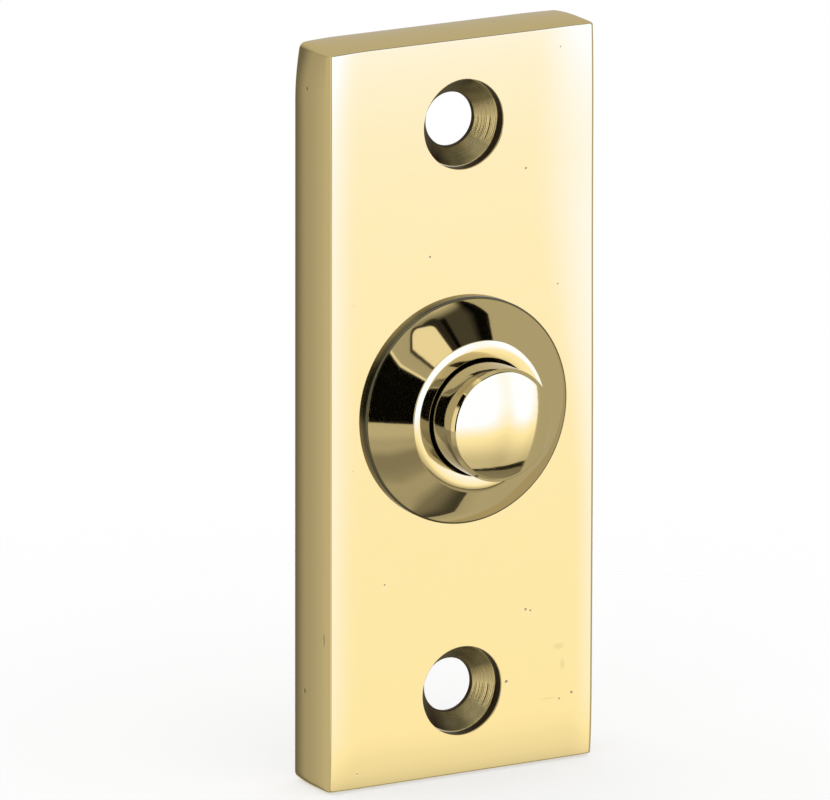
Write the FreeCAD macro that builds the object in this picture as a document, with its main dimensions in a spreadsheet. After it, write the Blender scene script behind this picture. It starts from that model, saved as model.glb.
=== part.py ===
import FreeCAD, Part
import math
import operator
import os

import Sketcher

# Doorbell push button of the oblong surface kind: a thick brass plate, hollow behind, carries a
# turned collar, and a domed brass push slides in the collar against a coil spring. Behind the
# plate a moulded block holds two contact strips, which the push closes, and their terminals.
#
# Frame, in millimetres: X across the plate (to the right as a caller sees it), Z up, and the wall
# is the plane Y = 0, with the plate in front of it, towards -Y. The origin is the centre of the
# plate's back. "Out" is always the distance out from the wall, so Y = -out.

SIZES = {
    # Plate, a casting with slightly barrelled sides
    "plate_width": 33.5,
    "plate_height": 83.0,
    "plate_depth": 8.2,
    "side_bulge": 0.3,
    "corner_round": 0.6,
    "arris_round": 0.12,
    "web_thickness": 3.6,
    "rim_wall": 3.0,
    "recess_round": 2.0,
    # Two countersunk fixing holes, sunk below the face
    "fixing_pitch": 63.5,
    "fixing_head_radius": 4.97,
    "fixing_head_sink": 1.3,
    "fixing_hole_radius": 3.0,
    # Collar, turned from bar and screwed into the plate: a foot, a cone whose rim is rolled over
    # by polishing, and a crowned land with a small round nose about the mouth
    "collar_radius": 12.65,
    "collar_step": 0.65,
    "collar_bevel": 0.13,
    "collar_stand": 4.06,
    "rim_roll": 1.5,
    "rim_drop": 0.14,
    "land_width": 1.87,
    "land_rise": 0.17,
    "land_nose": 0.1,
    "crown_inset": 1.05,
    "lip_drop": 0.04,
    "lip_round": 0.1,
    "mouth_length": 2.06,
    "spigot_wall": 1.5,
    "thread_gap": 0.03,
    # Push, with its flange, stem and insulating tip
    "push_radius": 6.3,
    "push_clearance": 0.25,
    "push_proud": 4.14,
    "push_edge": 0.35,
    "dome_rise": 0.85,
    "flange_step": 1.1,
    "flange_thickness": 1.0,
    "flange_clearance": 0.1,
    "stem_radius": 2.4,
    "tip_length": 1.2,
    "tip_peg_radius": 1.2,
    "tip_peg_length": 2.0,
    # Return spring and the washer that it stands on
    "spring_stand_off": 1.8,
    "spring_wire_radius": 0.22,
    "spring_coil_gap": 0.04,
    "seat_thickness": 0.4,
    "seat_clearance": 0.2,
    "stem_clearance": 0.3,
    # Contact block
    "rear_space": 1.6,
    "block_side_gap": 1.2,
    "block_end_margin": 1.0,
    "block_round": 1.5,
    "terminal_floor": 1.7,
    "terminal_start": 13.0,
    "well_floor": 0.6,
    "well_side_gap": 1.0,
    "well_end_gap": 0.5,
    "joggle_clearance": 0.2,
    # Contact strips, their joggles and silver contacts
    "strip_width": 6.0,
    "leaf_thickness": 0.3,
    "fixed_strip_thickness": 0.4,
    "strip_end_margin": 0.5,
    "joggle_run": 1.5,
    "contact_drop": 7.0,
    "contact_radius": 1.2,
    "contact_margin": 0.8,
    "moving_silver": 0.25,
    "fixed_silver": 0.2,
    # Terminals
    "fastener_gap": 0.4,
    "terminal_screw_radius": 1.5,
    "terminal_head_radius": 2.4,
    "terminal_head_height": 1.4,
    "washer_radius": 2.5,
    "washer_thickness": 0.4,
    "insert_radius": 2.5,
    "insert_backing": 0.6,
    "insert_gap": 0.05,
    "screw_gap": 0.05,
    # Rivets that keep the strips from turning
    "rivet_radius": 0.7,
    "rivet_head_radius": 1.0,
    "rivet_head_height": 0.35,
    "rivet_depth": 1.0,
    # Two screws that hold the block to the plate, in tapped holes that leave a skin of metal
    "block_screw_radius": 1.2,
    "block_head_radius": 2.1,
    "block_head_height": 1.1,
    "face_skin": 0.9,
    "tapping_allowance": 0.3,
    # Screwdriver slots
    "slot_width": 0.6,
    "slot_depth": 0.6,
}

SHEET_NAME = "Sizes"
VOLUME_TOLERANCE = 1e-6

doc = FreeCAD.newDocument("doorbell_push")
sheet = doc.addObject("Spreadsheet::Sheet", SHEET_NAME)


class Size:
    """A length that knows its value and the formula that ties it to the driving sizes."""

    def __init__(self, value, formula):
        self.value = float(value)
        self.formula = formula

    def __add__(self, other):
        return combine(operator.add, "+", self, other)

    def __radd__(self, other):
        return combine(operator.add, "+", other, self)

    def __sub__(self, other):
        return combine(operator.sub, "-", self, other)

    def __rsub__(self, other):
        return combine(operator.sub, "-", other, self)

    def __mul__(self, other):
        return combine(operator.mul, "*", self, other)

    def __rmul__(self, other):
        return combine(operator.mul, "*", other, self)

    def __truediv__(self, other):
        return combine(operator.truediv, "/", self, other)

    def __neg__(self):
        return Size(-self.value, f"(-1 * {self.formula})")


def as_size(number):
    """A plain number as a Size, and a Size as it is."""
    return number if isinstance(number, Size) else Size(number, repr(number))


def combine(operation, sign, first, second):
    """Two sizes joined by one operation, in value and in formula."""
    first = as_size(first)
    second = as_size(second)
    value = operation(first.value, second.value)
    return Size(value, f"({first.formula} {sign} {second.formula})")


def root(size):
    """The square root of a size, in value and in formula."""
    return Size(math.sqrt(size.value), f"sqrt({size.formula})")


def bow_radius(chord, rise):
    """The radius of an arc that rises by rise over a chord."""
    return (chord * chord / 4 + rise * rise) / (2 * rise)


for row, (name, number) in enumerate(SIZES.items(), start=1):
    sheet.set(f"A{row}", str(number))
    sheet.setAlias(f"A{row}", name)
doc.recompute()


def size(name):
    """The driving size of that name."""
    return Size(SIZES[name], f"{SHEET_NAME}.{name}")


def bind(thing, path, value):
    """Ties a property or a constraint to its formula."""
    thing.setExpression(path, as_size(value).formula)


def new_body(label):
    """An empty piece, named as its file will be."""
    body = doc.addObject("PartDesign::Body", label)
    body.Label = label
    return body


def new_sketch(body, name, plane, offset=0):
    """A sketch on one of the piece's own planes, moved along the plane's normal by offset."""
    sketch = body.newObject("Sketcher::SketchObject", name)
    support = [feature for feature in body.Origin.OriginFeatures if feature.Role == plane]
    sketch.AttachmentSupport = [(support[0], "")]
    sketch.MapMode = "FlatFace"
    bind(sketch, "AttachmentOffset.Base.z", offset)
    return sketch


def pin_point(sketch, element, end, x, y):
    """Holds one point of a sketch at x and y from the sketch's origin."""
    for kind, distance in (("DistanceX", as_size(x)), ("DistanceY", as_size(y))):
        constraint = Sketcher.Constraint(kind, -1, 1, element, end, distance.value)
        index = sketch.addConstraint(constraint)
        bind(sketch, f"Constraints[{index}]", distance)


def add_circle(sketch, x, y, radius):
    """A circle of that centre and radius."""
    centre = FreeCAD.Vector(as_size(x).value, as_size(y).value, 0)
    normal = FreeCAD.Vector(0, 0, 1)
    element = sketch.addGeometry(Part.Circle(centre, normal, radius.value), False)
    pin_point(sketch, element, 3, x, y)
    index = sketch.addConstraint(Sketcher.Constraint("Radius", element, radius.value))
    bind(sketch, f"Constraints[{index}]", radius)


def add_outline(sketch, corners, arcs=None):
    """A closed outline through the corners, straight but for arcs, which maps the number of a
    corner to the centre and radius of the arc that leaves it, each arc under half a circle."""
    arcs = arcs or {}
    points = [FreeCAD.Vector(as_size(x).value, as_size(y).value, 0) for x, y in corners]
    count = len(corners)
    start_of = {}
    for number, start in enumerate(points):
        end = points[(number + 1) % count]
        if number not in arcs:
            element = sketch.addGeometry(Part.LineSegment(start, end), False)
            start_of[number] = (element, 1, 2)
            continue
        centre, radius = arcs[number]
        middle = FreeCAD.Vector(as_size(centre[0]).value, as_size(centre[1]).value, 0)
        circle = Part.Circle(middle, FreeCAD.Vector(0, 0, 1), radius.value)
        forward = (start - middle).cross(end - middle).z > 0
        first, last = (start, end) if forward else (end, start)
        angles = [math.atan2(p.y - middle.y, p.x - middle.x) for p in (first, last)]
        element = sketch.addGeometry(Part.ArcOfCircle(circle, *angles), False)
        start_of[number] = (element, 1, 2) if forward else (element, 2, 1)
        index = sketch.addConstraint(Sketcher.Constraint("Radius", element, radius.value))
        bind(sketch, f"Constraints[{index}]", radius)
    for number, (x, y) in enumerate(corners):
        element, begin, _ = start_of[number]
        before, _, finish = start_of[(number - 1) % count]
        sketch.addConstraint(Sketcher.Constraint("Coincident", before, finish, element, begin))
        pin_point(sketch, element, begin, x, y)


def rounded_rectangle(half_width, half_height, radius):
    """Corners and corner arcs of a rectangle about the sketch's origin."""
    corners = []
    arcs = {}
    for x_sign, y_sign in ((1, 1), (-1, 1), (-1, -1), (1, -1)):
        inner = ((half_width - radius) * x_sign, (half_height - radius) * y_sign)
        on_side = (half_width * x_sign, inner[1])
        on_end = (inner[0], half_height * y_sign)
        arcs[len(corners)] = (inner, radius)
        corners += [on_side, on_end] if x_sign == y_sign else [on_end, on_side]
    return corners, arcs


def pad(body, sketch, length, symmetric=False):
    """Material of that length along the sketch's normal, or half to each side of it."""
    feature = body.newObject("PartDesign::Pad", sketch.Name + "_pad")
    feature.Profile = sketch
    feature.SideType = "Symmetric" if symmetric else "One side"
    bind(feature, "Length", length)
    sketch.Visibility = False
    doc.recompute()
    return feature


def revolve(body, sketch, kind="PartDesign::Revolution"):
    """A full turn of the sketch about its own upright axis."""
    feature = body.newObject(kind, sketch.Name + "_turn")
    feature.Profile = sketch
    feature.ReferenceAxis = (sketch, ["V_Axis"])
    feature.Angle = 360
    sketch.Visibility = False
    doc.recompute()
    return feature


def pocket(body, sketch, depth):
    """A pocket of that depth, cut from the sketch outwards, away from the wall."""
    before = body.Shape.Volume
    feature = body.newObject("PartDesign::Pocket", sketch.Name + "_pocket")
    feature.Profile = sketch
    feature.SideType = "One side"
    feature.Reversed = True
    bind(feature, "Length", depth)
    sketch.Visibility = False
    doc.recompute()
    check_cut(feature, before, body.Shape.Volume)
    return feature


def check_cut(feature, before, after):
    """Stops the build where a cut has taken nothing away."""
    if after > before - VOLUME_TOLERANCE:
        raise ValueError(f"{feature.Label} cuts nothing")


def dress(body, base, name, kind, radius, chosen):
    """A fillet or chamfer of the edges of base for which chosen is true."""
    edges = [f"Edge{n}" for n, edge in enumerate(base.Shape.Edges, start=1) if chosen(edge)]
    feature = body.newObject(kind, name)
    feature.Base = (base, edges)
    bind(feature, "Radius" if kind == "PartDesign::Fillet" else "Size", radius)
    doc.recompute()
    return feature


def turned_piece(label, corners, arcs=None):
    """A piece turned about the depth axis, its section given as (radius, out) corners."""
    body = new_body(label)
    sketch = new_sketch(body, label + "_section", "XY_Plane")
    flipped = {n: ((centre[0], -centre[1]), radius) for n, (centre, radius) in (arcs or {}).items()}
    add_outline(sketch, [(radius, -as_size(out)) for radius, out in corners], flipped)
    revolve(body, sketch)
    return body


def place(body, x, out, z):
    """Stands a piece, made about its own origin, at x, out and z."""
    bind(body, "Placement.Base.x", x)
    bind(body, "Placement.Base.y", -as_size(out))
    bind(body, "Placement.Base.z", z)


# Levels out from the wall that several pieces share
face_out = size("plate_depth")
web_back = face_out - size("web_thickness")
collar_top = face_out + size("collar_stand")
shoulder_out = collar_top - size("mouth_length")
flange_back = shoulder_out - size("flange_thickness")
block_rear = size("rear_space")
well_level = web_back - size("well_floor")
terminal_level = web_back - size("terminal_floor")
seat_top = web_back + size("seat_thickness")
stem_end = well_level + size("tip_length")

# Half widths and half heights of the plate, at its girth and at its front and back edges
half_width = size("plate_width") / 2
half_height = size("plate_height") / 2
edge_half_width = half_width - size("side_bulge")
edge_half_height = half_height - size("side_bulge")
recess_half_width = edge_half_width - size("rim_wall")
recess_half_height = edge_half_height - size("rim_wall")

# Radii about the push's axis
mouth_radius = size("push_radius") + size("push_clearance")
flange_radius = size("push_radius") + size("flange_step")
guide_radius = flange_radius + size("flange_clearance")
spigot_radius = guide_radius + size("spigot_wall")

# Heights above or below the push's axis, worked outwards along the contact strips
leaf_tail = size("contact_drop") + size("contact_radius") + size("contact_margin")
fixed_strip_tail = size("contact_drop") - size("contact_radius") - size("contact_margin")
well_bottom = leaf_tail + size("well_end_gap")
joggle_start = size("terminal_start") + size("joggle_clearance")
well_top = joggle_start + size("joggle_clearance")
moving_rivet_height = joggle_start + size("fastener_gap") + size("rivet_head_radius")
fixed_rivet_height = (well_bottom + size("terminal_start")) / 2
rivet_side = moving_rivet_height + size("rivet_head_radius")
terminal_height = rivet_side + size("fastener_gap") + size("washer_radius")
strip_reach = terminal_height + size("washer_radius") + size("strip_end_margin")
block_half_height = strip_reach + size("block_end_margin")
block_screw_height = size("terminal_start") - size("fastener_gap") - size("block_head_radius")

# Half widths behind the plate
well_half_width = size("strip_width") / 2 + size("well_side_gap")
block_half_width = recess_half_width - size("block_side_gap")
block_screw_across = (well_half_width + block_half_width) / 2

# Depths of holes and lengths of what goes in them
tapped_depth = size("web_thickness") - size("face_skin")
block_screw_bite = tapped_depth - size("tapping_allowance")
insert_length = size("terminal_floor") - size("insert_backing")
leaf_back = well_level - size("leaf_thickness")


def face_plate():
    """The casting: barrelled block, recess, collar hole, fixing holes and tapped holes."""
    body = new_body("face_plate")
    depth = face_out
    barrel = bow_radius(depth, size("side_bulge"))

    girth = new_sketch(body, "plate_girth", "XY_Plane")
    corners = [
        (-edge_half_width, -depth),
        (edge_half_width, -depth),
        (edge_half_width, 0),
        (-edge_half_width, 0),
    ]
    arcs = {
        1: ((half_width - barrel, -depth / 2), barrel),
        3: ((barrel - half_width, -depth / 2), barrel),
    }
    add_outline(girth, corners, arcs)
    pad(body, girth, size("plate_height"), symmetric=True)

    # The ends are barrelled by cutting away what lies beyond their arcs.
    beyond = 1
    ends = new_sketch(body, "plate_ends", "YZ_Plane")
    for sign in (1, -1):
        waste = [
            (-depth - beyond, edge_half_height * sign),
            (-depth, edge_half_height * sign),
            (0, edge_half_height * sign),
            (beyond, edge_half_height * sign),
            (beyond, (half_height + beyond) * sign),
            (-depth - beyond, (half_height + beyond) * sign),
        ]
        add_outline(ends, waste, {1: ((-depth / 2, (half_height - barrel) * sign), barrel)})
    before = body.Shape.Volume
    trim = body.newObject("PartDesign::Pocket", "plate_ends_pocket")
    trim.Profile = ends
    trim.SideType = "Symmetric"
    bind(trim, "Length", size("plate_width") + 2 * beyond)
    ends.Visibility = False
    doc.recompute()
    check_cut(trim, before, body.Shape.Volume)

    # Only the four corners are curved so far, because the barrelled faces meet in ellipses.
    corner_fillet = dress(
        body, trim, "plate_corners", "PartDesign::Fillet", size("corner_round"),
        lambda edge: edge.Curve.TypeId != "Part::GeomLine",
    )
    near_face = -0.99 * depth.value
    dress(
        body, corner_fillet, "plate_arris", "PartDesign::Fillet", size("arris_round"),
        lambda edge: edge.BoundBox.YMax < near_face,
    )

    recess = new_sketch(body, "plate_recess", "XZ_Plane")
    corners, arcs = rounded_rectangle(recess_half_width, recess_half_height, size("recess_round"))
    add_outline(recess, corners, arcs)
    pocket(body, recess, web_back)

    collar_hole = new_sketch(body, "plate_collar_hole", "XZ_Plane", web_back)
    add_circle(collar_hole, 0, 0, spigot_radius + size("thread_gap"))
    pocket(body, collar_hole, size("web_thickness"))

    tapped = new_sketch(body, "plate_tapped_holes", "XZ_Plane", web_back)
    for sign in (1, -1):
        across = -block_screw_across * sign
        add_circle(tapped, across, block_screw_height * sign, size("block_screw_radius"))
    pocket(body, tapped, tapped_depth)

    # A fixing hole is a counterbore, a right-angled countersink and a plain hole.
    head = size("fixing_head_radius")
    hole = size("fixing_hole_radius")
    sink_floor = face_out - size("fixing_head_sink")
    cone_floor = sink_floor - (head - hole)
    section = [
        (0, face_out + beyond),
        (head, face_out + beyond),
        (head, sink_floor),
        (hole, cone_floor),
        (hole, web_back - beyond),
        (0, web_back - beyond),
    ]
    fixing = new_sketch(body, "plate_fixing_hole", "XY_Plane", size("fixing_pitch") / 2)
    add_outline(fixing, [(radius, -as_size(out)) for radius, out in section])
    before = body.Shape.Volume
    groove = revolve(body, fixing, "PartDesign::Groove")
    check_cut(groove, before, body.Shape.Volume)
    before = body.Shape.Volume
    twin = body.newObject("PartDesign::Mirrored", "plate_fixing_twin")
    twin.Originals = [groove]
    level = [feature for feature in body.Origin.OriginFeatures if feature.Role == "XY_Plane"]
    twin.MirrorPlane = (level[0], [""])
    body.Tip = twin
    doc.recompute()
    check_cut(twin, before, body.Shape.Volume)
    return body


def collar():
    """The turned collar: stepped foot, cone, crowned land, and a spigot in the plate."""
    foot = size("collar_radius")
    bevel = size("collar_bevel")
    step_top = face_out + size("collar_step")
    corner = (foot - bevel, step_top + bevel)
    land = (mouth_radius + size("land_width"), collar_top - size("land_rise"))
    lip = (mouth_radius + size("lip_round"), collar_top - size("lip_drop"))
    crown_radius = mouth_radius + size("crown_inset")

    # The land is two arcs that are both level at its crown. The nose goes on from the outer
    # arc, so its centre is on the line from the land's edge to that arc's centre.
    outer_bow = bow_radius(2 * (land[0] - crown_radius), size("land_rise"))
    inner_bow = bow_radius(2 * (crown_radius - lip[0]), size("lip_drop"))
    nose = size("land_nose")
    nose_centre = (
        land[0] - (land[0] - crown_radius) * nose / outer_bow,
        land[1] - (outer_bow - size("land_rise")) * nose / outer_bow,
    )
    cone_top = (nose_centre[0] + nose, nose_centre[1])

    # The cone's own line passes above the corner by the rim's drop. The roll leaves that line
    # as a tangent arc and comes down to the corner.
    drop = size("rim_drop")
    roll = size("rim_roll")
    slope = (cone_top[1] - corner[1] - drop) / (corner[0] - cone_top[0])
    steepness = root(1 + slope * slope)
    climb = drop + roll * slope
    roll_start = (corner[0] - roll, corner[1] + climb)
    roll_radius = (roll * roll + climb * climb) * steepness / (2 * drop)
    roll_centre = (
        roll_start[0] - roll_radius * slope / steepness,
        roll_start[1] - roll_radius / steepness,
    )

    section = [
        (guide_radius, web_back),
        (spigot_radius, web_back),
        (spigot_radius, face_out),
        (foot, face_out),
        (foot, step_top),
        corner,
        roll_start,
        cone_top,
        land,
        (crown_radius, collar_top),
        lip,
        (mouth_radius, lip[1] - size("lip_round")),
        (mouth_radius, shoulder_out),
        (guide_radius, shoulder_out),
    ]
    arcs = {
        5: (roll_centre, roll_radius),
        7: (nose_centre, nose),
        8: ((crown_radius, collar_top - outer_bow), outer_bow),
        9: ((crown_radius, collar_top - inner_bow), inner_bow),
        10: ((lip[0], lip[1] - size("lip_round")), size("lip_round")),
    }
    return turned_piece("collar", section, arcs)


def push_button():
    """The domed push, with the flange that keeps it in and the stem that works the contact."""
    radius = size("push_radius")
    edge = size("push_edge")
    rim = collar_top + size("push_proud")
    crown_radius = radius - edge
    crown_foot = rim + edge
    rise = size("dome_rise")
    crown_bow = bow_radius(2 * crown_radius, rise)
    peg_floor = stem_end + size("tip_peg_length")
    section = [
        (0, crown_foot + rise),
        (crown_radius, crown_foot),
        (radius, rim),
        (radius, shoulder_out),
        (flange_radius, shoulder_out),
        (flange_radius, flange_back),
        (size("stem_radius"), flange_back),
        (size("stem_radius"), stem_end),
        (size("tip_peg_radius"), stem_end),
        (size("tip_peg_radius"), peg_floor),
        (0, peg_floor),
    ]
    return turned_piece("push_button", section, {0: ((0, crown_foot + rise - crown_bow), crown_bow)})


def button_tip():
    """The insulating tip: its peg fills the stem's end, and its head meets the contact leaf."""
    section = [
        (0, well_level),
        (size("stem_radius"), well_level),
        (size("stem_radius"), stem_end),
        (size("tip_peg_radius"), stem_end),
        (size("tip_peg_radius"), stem_end + size("tip_peg_length")),
        (0, stem_end + size("tip_peg_length")),
    ]
    return turned_piece("button_tip", section)


def return_spring():
    """A coil spring between its seat and the flange: a closed turn at each end, two open ones."""
    body = new_body("return_spring")
    wire = size("spring_wire_radius")
    coil_radius = size("stem_radius") + size("spring_stand_off")
    closed = 2 * wire + size("spring_coil_gap")
    open_turns = 2
    first_out = seat_top + wire
    last_out = flange_back - wire
    open_pitch = (last_out - first_out - 2 * closed) / open_turns
    runs = [
        ("spring_foot", first_out, closed, 1),
        ("spring_middle", first_out + closed, open_pitch, open_turns),
        ("spring_head", last_out - closed, closed, 1),
    ]
    for name, out, pitch, turns in runs:
        sketch = new_sketch(body, name, "XY_Plane")
        add_circle(sketch, coil_radius, -out, wire)
        coil = body.newObject("PartDesign::AdditiveHelix", name + "_coil")
        coil.Profile = sketch
        coil.ReferenceAxis = (sketch, ["V_Axis"])
        coil.Mode = "pitch-turns-angle"
        coil.Turns = turns
        coil.Reversed = True
        bind(coil, "Pitch", pitch)
        sketch.Visibility = False
        doc.recompute()
    return body


def spring_seat():
    """The fibre washer that the spring stands on, inside the collar."""
    inner = size("stem_radius") + size("stem_clearance")
    outer = guide_radius - size("seat_clearance")
    section = [(inner, web_back), (outer, web_back), (outer, seat_top), (inner, seat_top)]
    return turned_piece("spring_seat", section)


def contact_block():
    """The moulded block: two low ends for the terminals, and a well for the moving contact."""
    body = new_body("contact_block")
    plan = new_sketch(body, "block_plan", "XZ_Plane", block_rear)
    corners, arcs = rounded_rectangle(block_half_width, block_half_height, size("block_round"))
    add_outline(plan, corners, arcs)
    pad(body, plan, web_back - block_rear)

    # The low ends run past the block's sides and ends, so that nothing thin is left there.
    beyond = 1
    low_ends = new_sketch(body, "block_low_ends", "XZ_Plane", block_rear)
    for sign in (1, -1):
        corners = [
            (-block_half_width - beyond, size("terminal_start") * sign),
            (block_half_width + beyond, size("terminal_start") * sign),
            (block_half_width + beyond, (block_half_height + beyond) * sign),
            (-block_half_width - beyond, (block_half_height + beyond) * sign),
        ]
        add_outline(low_ends, corners)
    pocket(body, low_ends, terminal_level - block_rear)

    well = new_sketch(body, "block_well", "XZ_Plane", block_rear)
    corners = [
        (-well_half_width, -well_bottom),
        (well_half_width, -well_bottom),
        (well_half_width, well_top),
        (-well_half_width, well_top),
    ]
    add_outline(well, corners)
    pocket(body, well, well_level - block_rear)

    stem_hole = new_sketch(body, "block_stem_hole", "XZ_Plane", well_level)
    add_circle(stem_hole, 0, 0, size("stem_radius") + size("stem_clearance"))
    pocket(body, stem_hole, size("well_floor"))

    insert_holes = new_sketch(body, "block_insert_holes", "XZ_Plane", terminal_level)
    for sign in (1, -1):
        hole = size("insert_radius") + size("insert_gap")
        add_circle(insert_holes, 0, terminal_height * sign, hole)
    pocket(body, insert_holes, insert_length)

    upper_rivet = new_sketch(body, "block_moving_rivet_hole", "XZ_Plane", terminal_level)
    add_circle(upper_rivet, 0, moving_rivet_height, size("rivet_radius"))
    pocket(body, upper_rivet, size("rivet_depth"))
    lower_rivet = new_sketch(body, "block_fixed_rivet_hole", "XZ_Plane", block_rear)
    add_circle(lower_rivet, 0, -fixed_rivet_height, size("rivet_radius"))
    pocket(body, lower_rivet, size("rivet_depth"))

    screw_holes = new_sketch(body, "block_screw_holes", "XZ_Plane", block_rear)
    for sign in (1, -1):
        across = -block_screw_across * sign
        add_circle(screw_holes, across, block_screw_height * sign, clear_hole("block_screw_radius"))
    pocket(body, screw_holes, web_back - block_rear)
    return body


def joggled_strip(label, thickness, outline, holes):
    """A strip of sheet, bent as the (out, height) outline says, with round holes on its middle
    line, each given as its height, its radius and the level of the strip's back there."""
    body = new_body(label)
    side = new_sketch(body, label + "_side", "YZ_Plane")
    add_outline(side, [(-as_size(out), height) for out, height in outline])
    pad(body, side, size("strip_width"), symmetric=True)
    for number, (height, radius, back) in enumerate(holes, start=1):
        sketch = new_sketch(body, f"{label}_hole_{number}", "XZ_Plane", back)
        add_circle(sketch, 0, height, radius)
        pocket(body, sketch, thickness)
    return body


def joggle_shift(drop, thickness):
    """How far along the strip a bend moves from one face to the other: the thickness times the
    tangent of half the bend, for a joggle of that drop over the named run."""
    run = size("joggle_run")
    return thickness * (root(run * run + drop * drop) - run) / drop


def moving_contact():
    """The springy leaf: clamped on the upper low end, joggled down to the floor of the well."""
    thickness = size("leaf_thickness")
    shift = joggle_shift(well_level - terminal_level, thickness)
    foot = joggle_start - size("joggle_run")
    clamped_back = terminal_level - thickness
    outline = [
        (terminal_level, strip_reach),
        (terminal_level, joggle_start),
        (well_level, foot),
        (well_level, -leaf_tail),
        (leaf_back, -leaf_tail),
        (leaf_back, foot - shift),
        (clamped_back, joggle_start - shift),
        (clamped_back, strip_reach),
    ]
    holes = [
        (terminal_height, clear_hole("terminal_screw_radius"), clamped_back),
        (moving_rivet_height, size("rivet_radius"), clamped_back),
    ]
    return joggled_strip("moving_contact", thickness, outline, holes)


def fixed_contact():
    """The stiff strip: clamped on the lower low end, raised to the block's back over the well."""
    thickness = size("fixed_strip_thickness")
    shift = joggle_shift(terminal_level - block_rear, thickness)
    foot = joggle_start + size("joggle_run")
    clamped_back = terminal_level - thickness
    raised_back = block_rear - thickness
    outline = [
        (terminal_level, -strip_reach),
        (terminal_level, -foot),
        (block_rear, -joggle_start),
        (block_rear, -fixed_strip_tail),
        (raised_back, -fixed_strip_tail),
        (raised_back, -joggle_start - shift),
        (clamped_back, -foot - shift),
        (clamped_back, -strip_reach),
    ]
    holes = [
        (-terminal_height, clear_hole("terminal_screw_radius"), clamped_back),
        (-fixed_rivet_height, size("rivet_radius"), raised_back),
    ]
    return joggled_strip("fixed_contact", thickness, outline, holes)


def clear_hole(screw):
    """The radius of the hole that clears a screw."""
    return size(screw) + size("screw_gap")


def silver_contact(label, level, thickness):
    """A silver disc on a contact strip, standing out from level."""
    radius = size("contact_radius")
    body = turned_piece(label, [(0, 0), (radius, 0), (radius, thickness), (0, thickness)])
    place(body, 0, level, -size("contact_drop"))
    return body


def slotted_screw(label, radius, length, head_radius, head_height):
    """A cheese-headed screw about its seat, its head towards the wall and slotted across."""
    section = [
        (0, -head_height),
        (head_radius, -head_height),
        (head_radius, 0),
        (radius, 0),
        (radius, length),
        (0, length),
    ]
    body = turned_piece(label, section)
    slot = new_sketch(body, label + "_slot", "XZ_Plane", -head_height)
    half_slot = size("slot_width") / 2
    add_outline(slot, [
        (-2 * head_radius, -half_slot),
        (2 * head_radius, -half_slot),
        (2 * head_radius, half_slot),
        (-2 * head_radius, half_slot),
    ])
    pocket(body, slot, size("slot_depth"))
    return body


def terminal(name, sign, strip_thickness):
    """The threaded insert, washer and screw that clamp a bell wire on one strip."""
    height = terminal_height * sign
    bore = clear_hole("terminal_screw_radius")
    washer_back = terminal_level - strip_thickness - size("washer_thickness")
    grip = terminal_level + insert_length - washer_back
    insert_section = ring(bore, size("insert_radius"), insert_length)
    insert = turned_piece(f"terminal_insert_{name}", insert_section)
    place(insert, 0, terminal_level, height)
    washer_section = ring(bore, size("washer_radius"), size("washer_thickness"))
    washer = turned_piece(f"terminal_washer_{name}", washer_section)
    place(washer, 0, washer_back, height)
    screw = slotted_screw(
        f"terminal_screw_{name}", size("terminal_screw_radius"), grip,
        size("terminal_head_radius"), size("terminal_head_height"),
    )
    place(screw, 0, washer_back, height)
    return [insert, washer, screw]


def ring(inner, outer, thickness):
    """The section of a plain ring about its own axis."""
    return [(inner, 0), (outer, 0), (outer, thickness), (inner, thickness)]


def contact_rivet(label, strip_front, strip_thickness, height):
    """A rivet with its head on the back of a strip and its shank in the block."""
    head_radius = size("rivet_head_radius")
    head_height = size("rivet_head_height")
    length = strip_thickness + size("rivet_depth")
    section = [
        (0, -head_height),
        (head_radius, -head_height),
        (head_radius, 0),
        (size("rivet_radius"), 0),
        (size("rivet_radius"), length),
        (0, length),
    ]
    body = turned_piece(label, section)
    place(body, 0, strip_front - strip_thickness, height)
    return body


def block_screw(label, sign):
    """One of the two screws, set corner to corner, that hold the block to the plate."""
    length = web_back - block_rear + block_screw_bite
    body = slotted_screw(
        label, size("block_screw_radius"), length,
        size("block_head_radius"), size("block_head_height"),
    )
    place(body, -block_screw_across * sign, block_rear, block_screw_height * sign)
    return body


pieces = [
    face_plate(),
    collar(),
    push_button(),
    button_tip(),
    return_spring(),
    spring_seat(),
    contact_block(),
    moving_contact(),
    fixed_contact(),
    silver_contact("moving_silver", leaf_back - size("moving_silver"), size("moving_silver")),
    silver_contact("fixed_silver", block_rear, size("fixed_silver")),
    *terminal("upper", 1, size("leaf_thickness")),
    *terminal("lower", -1, size("fixed_strip_thickness")),
    contact_rivet("moving_rivet", terminal_level, size("leaf_thickness"), moving_rivet_height),
    contact_rivet("fixed_rivet", block_rear, size("fixed_strip_thickness"), -fixed_rivet_height),
    block_screw("block_screw_upper", 1),
    block_screw("block_screw_lower", -1),
]
doc.recompute()

for thing in doc.Objects:
    if "Invalid" in thing.State or "Error" in thing.State:
        raise ValueError(f"{thing.Label} could not be built: {thing.State}")
for piece in pieces:
    if piece.Shape.isNull() or not piece.Shape.isValid():
        raise ValueError(f"{piece.Label} has no valid shape")

os.makedirs("parts", exist_ok=True)
for piece in pieces:
    piece.Shape.exportStep(f"parts/{piece.Label}.step")
    print(f"{piece.Label}: {piece.Shape.Volume:.2f} mm3, {len(piece.Shape.Solids)} solid")

travel = leaf_back - size("moving_silver") - (block_rear + size("fixed_silver"))
print(f"{len(pieces)} pieces; the contacts stand {travel.value:.3f} mm apart")
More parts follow.
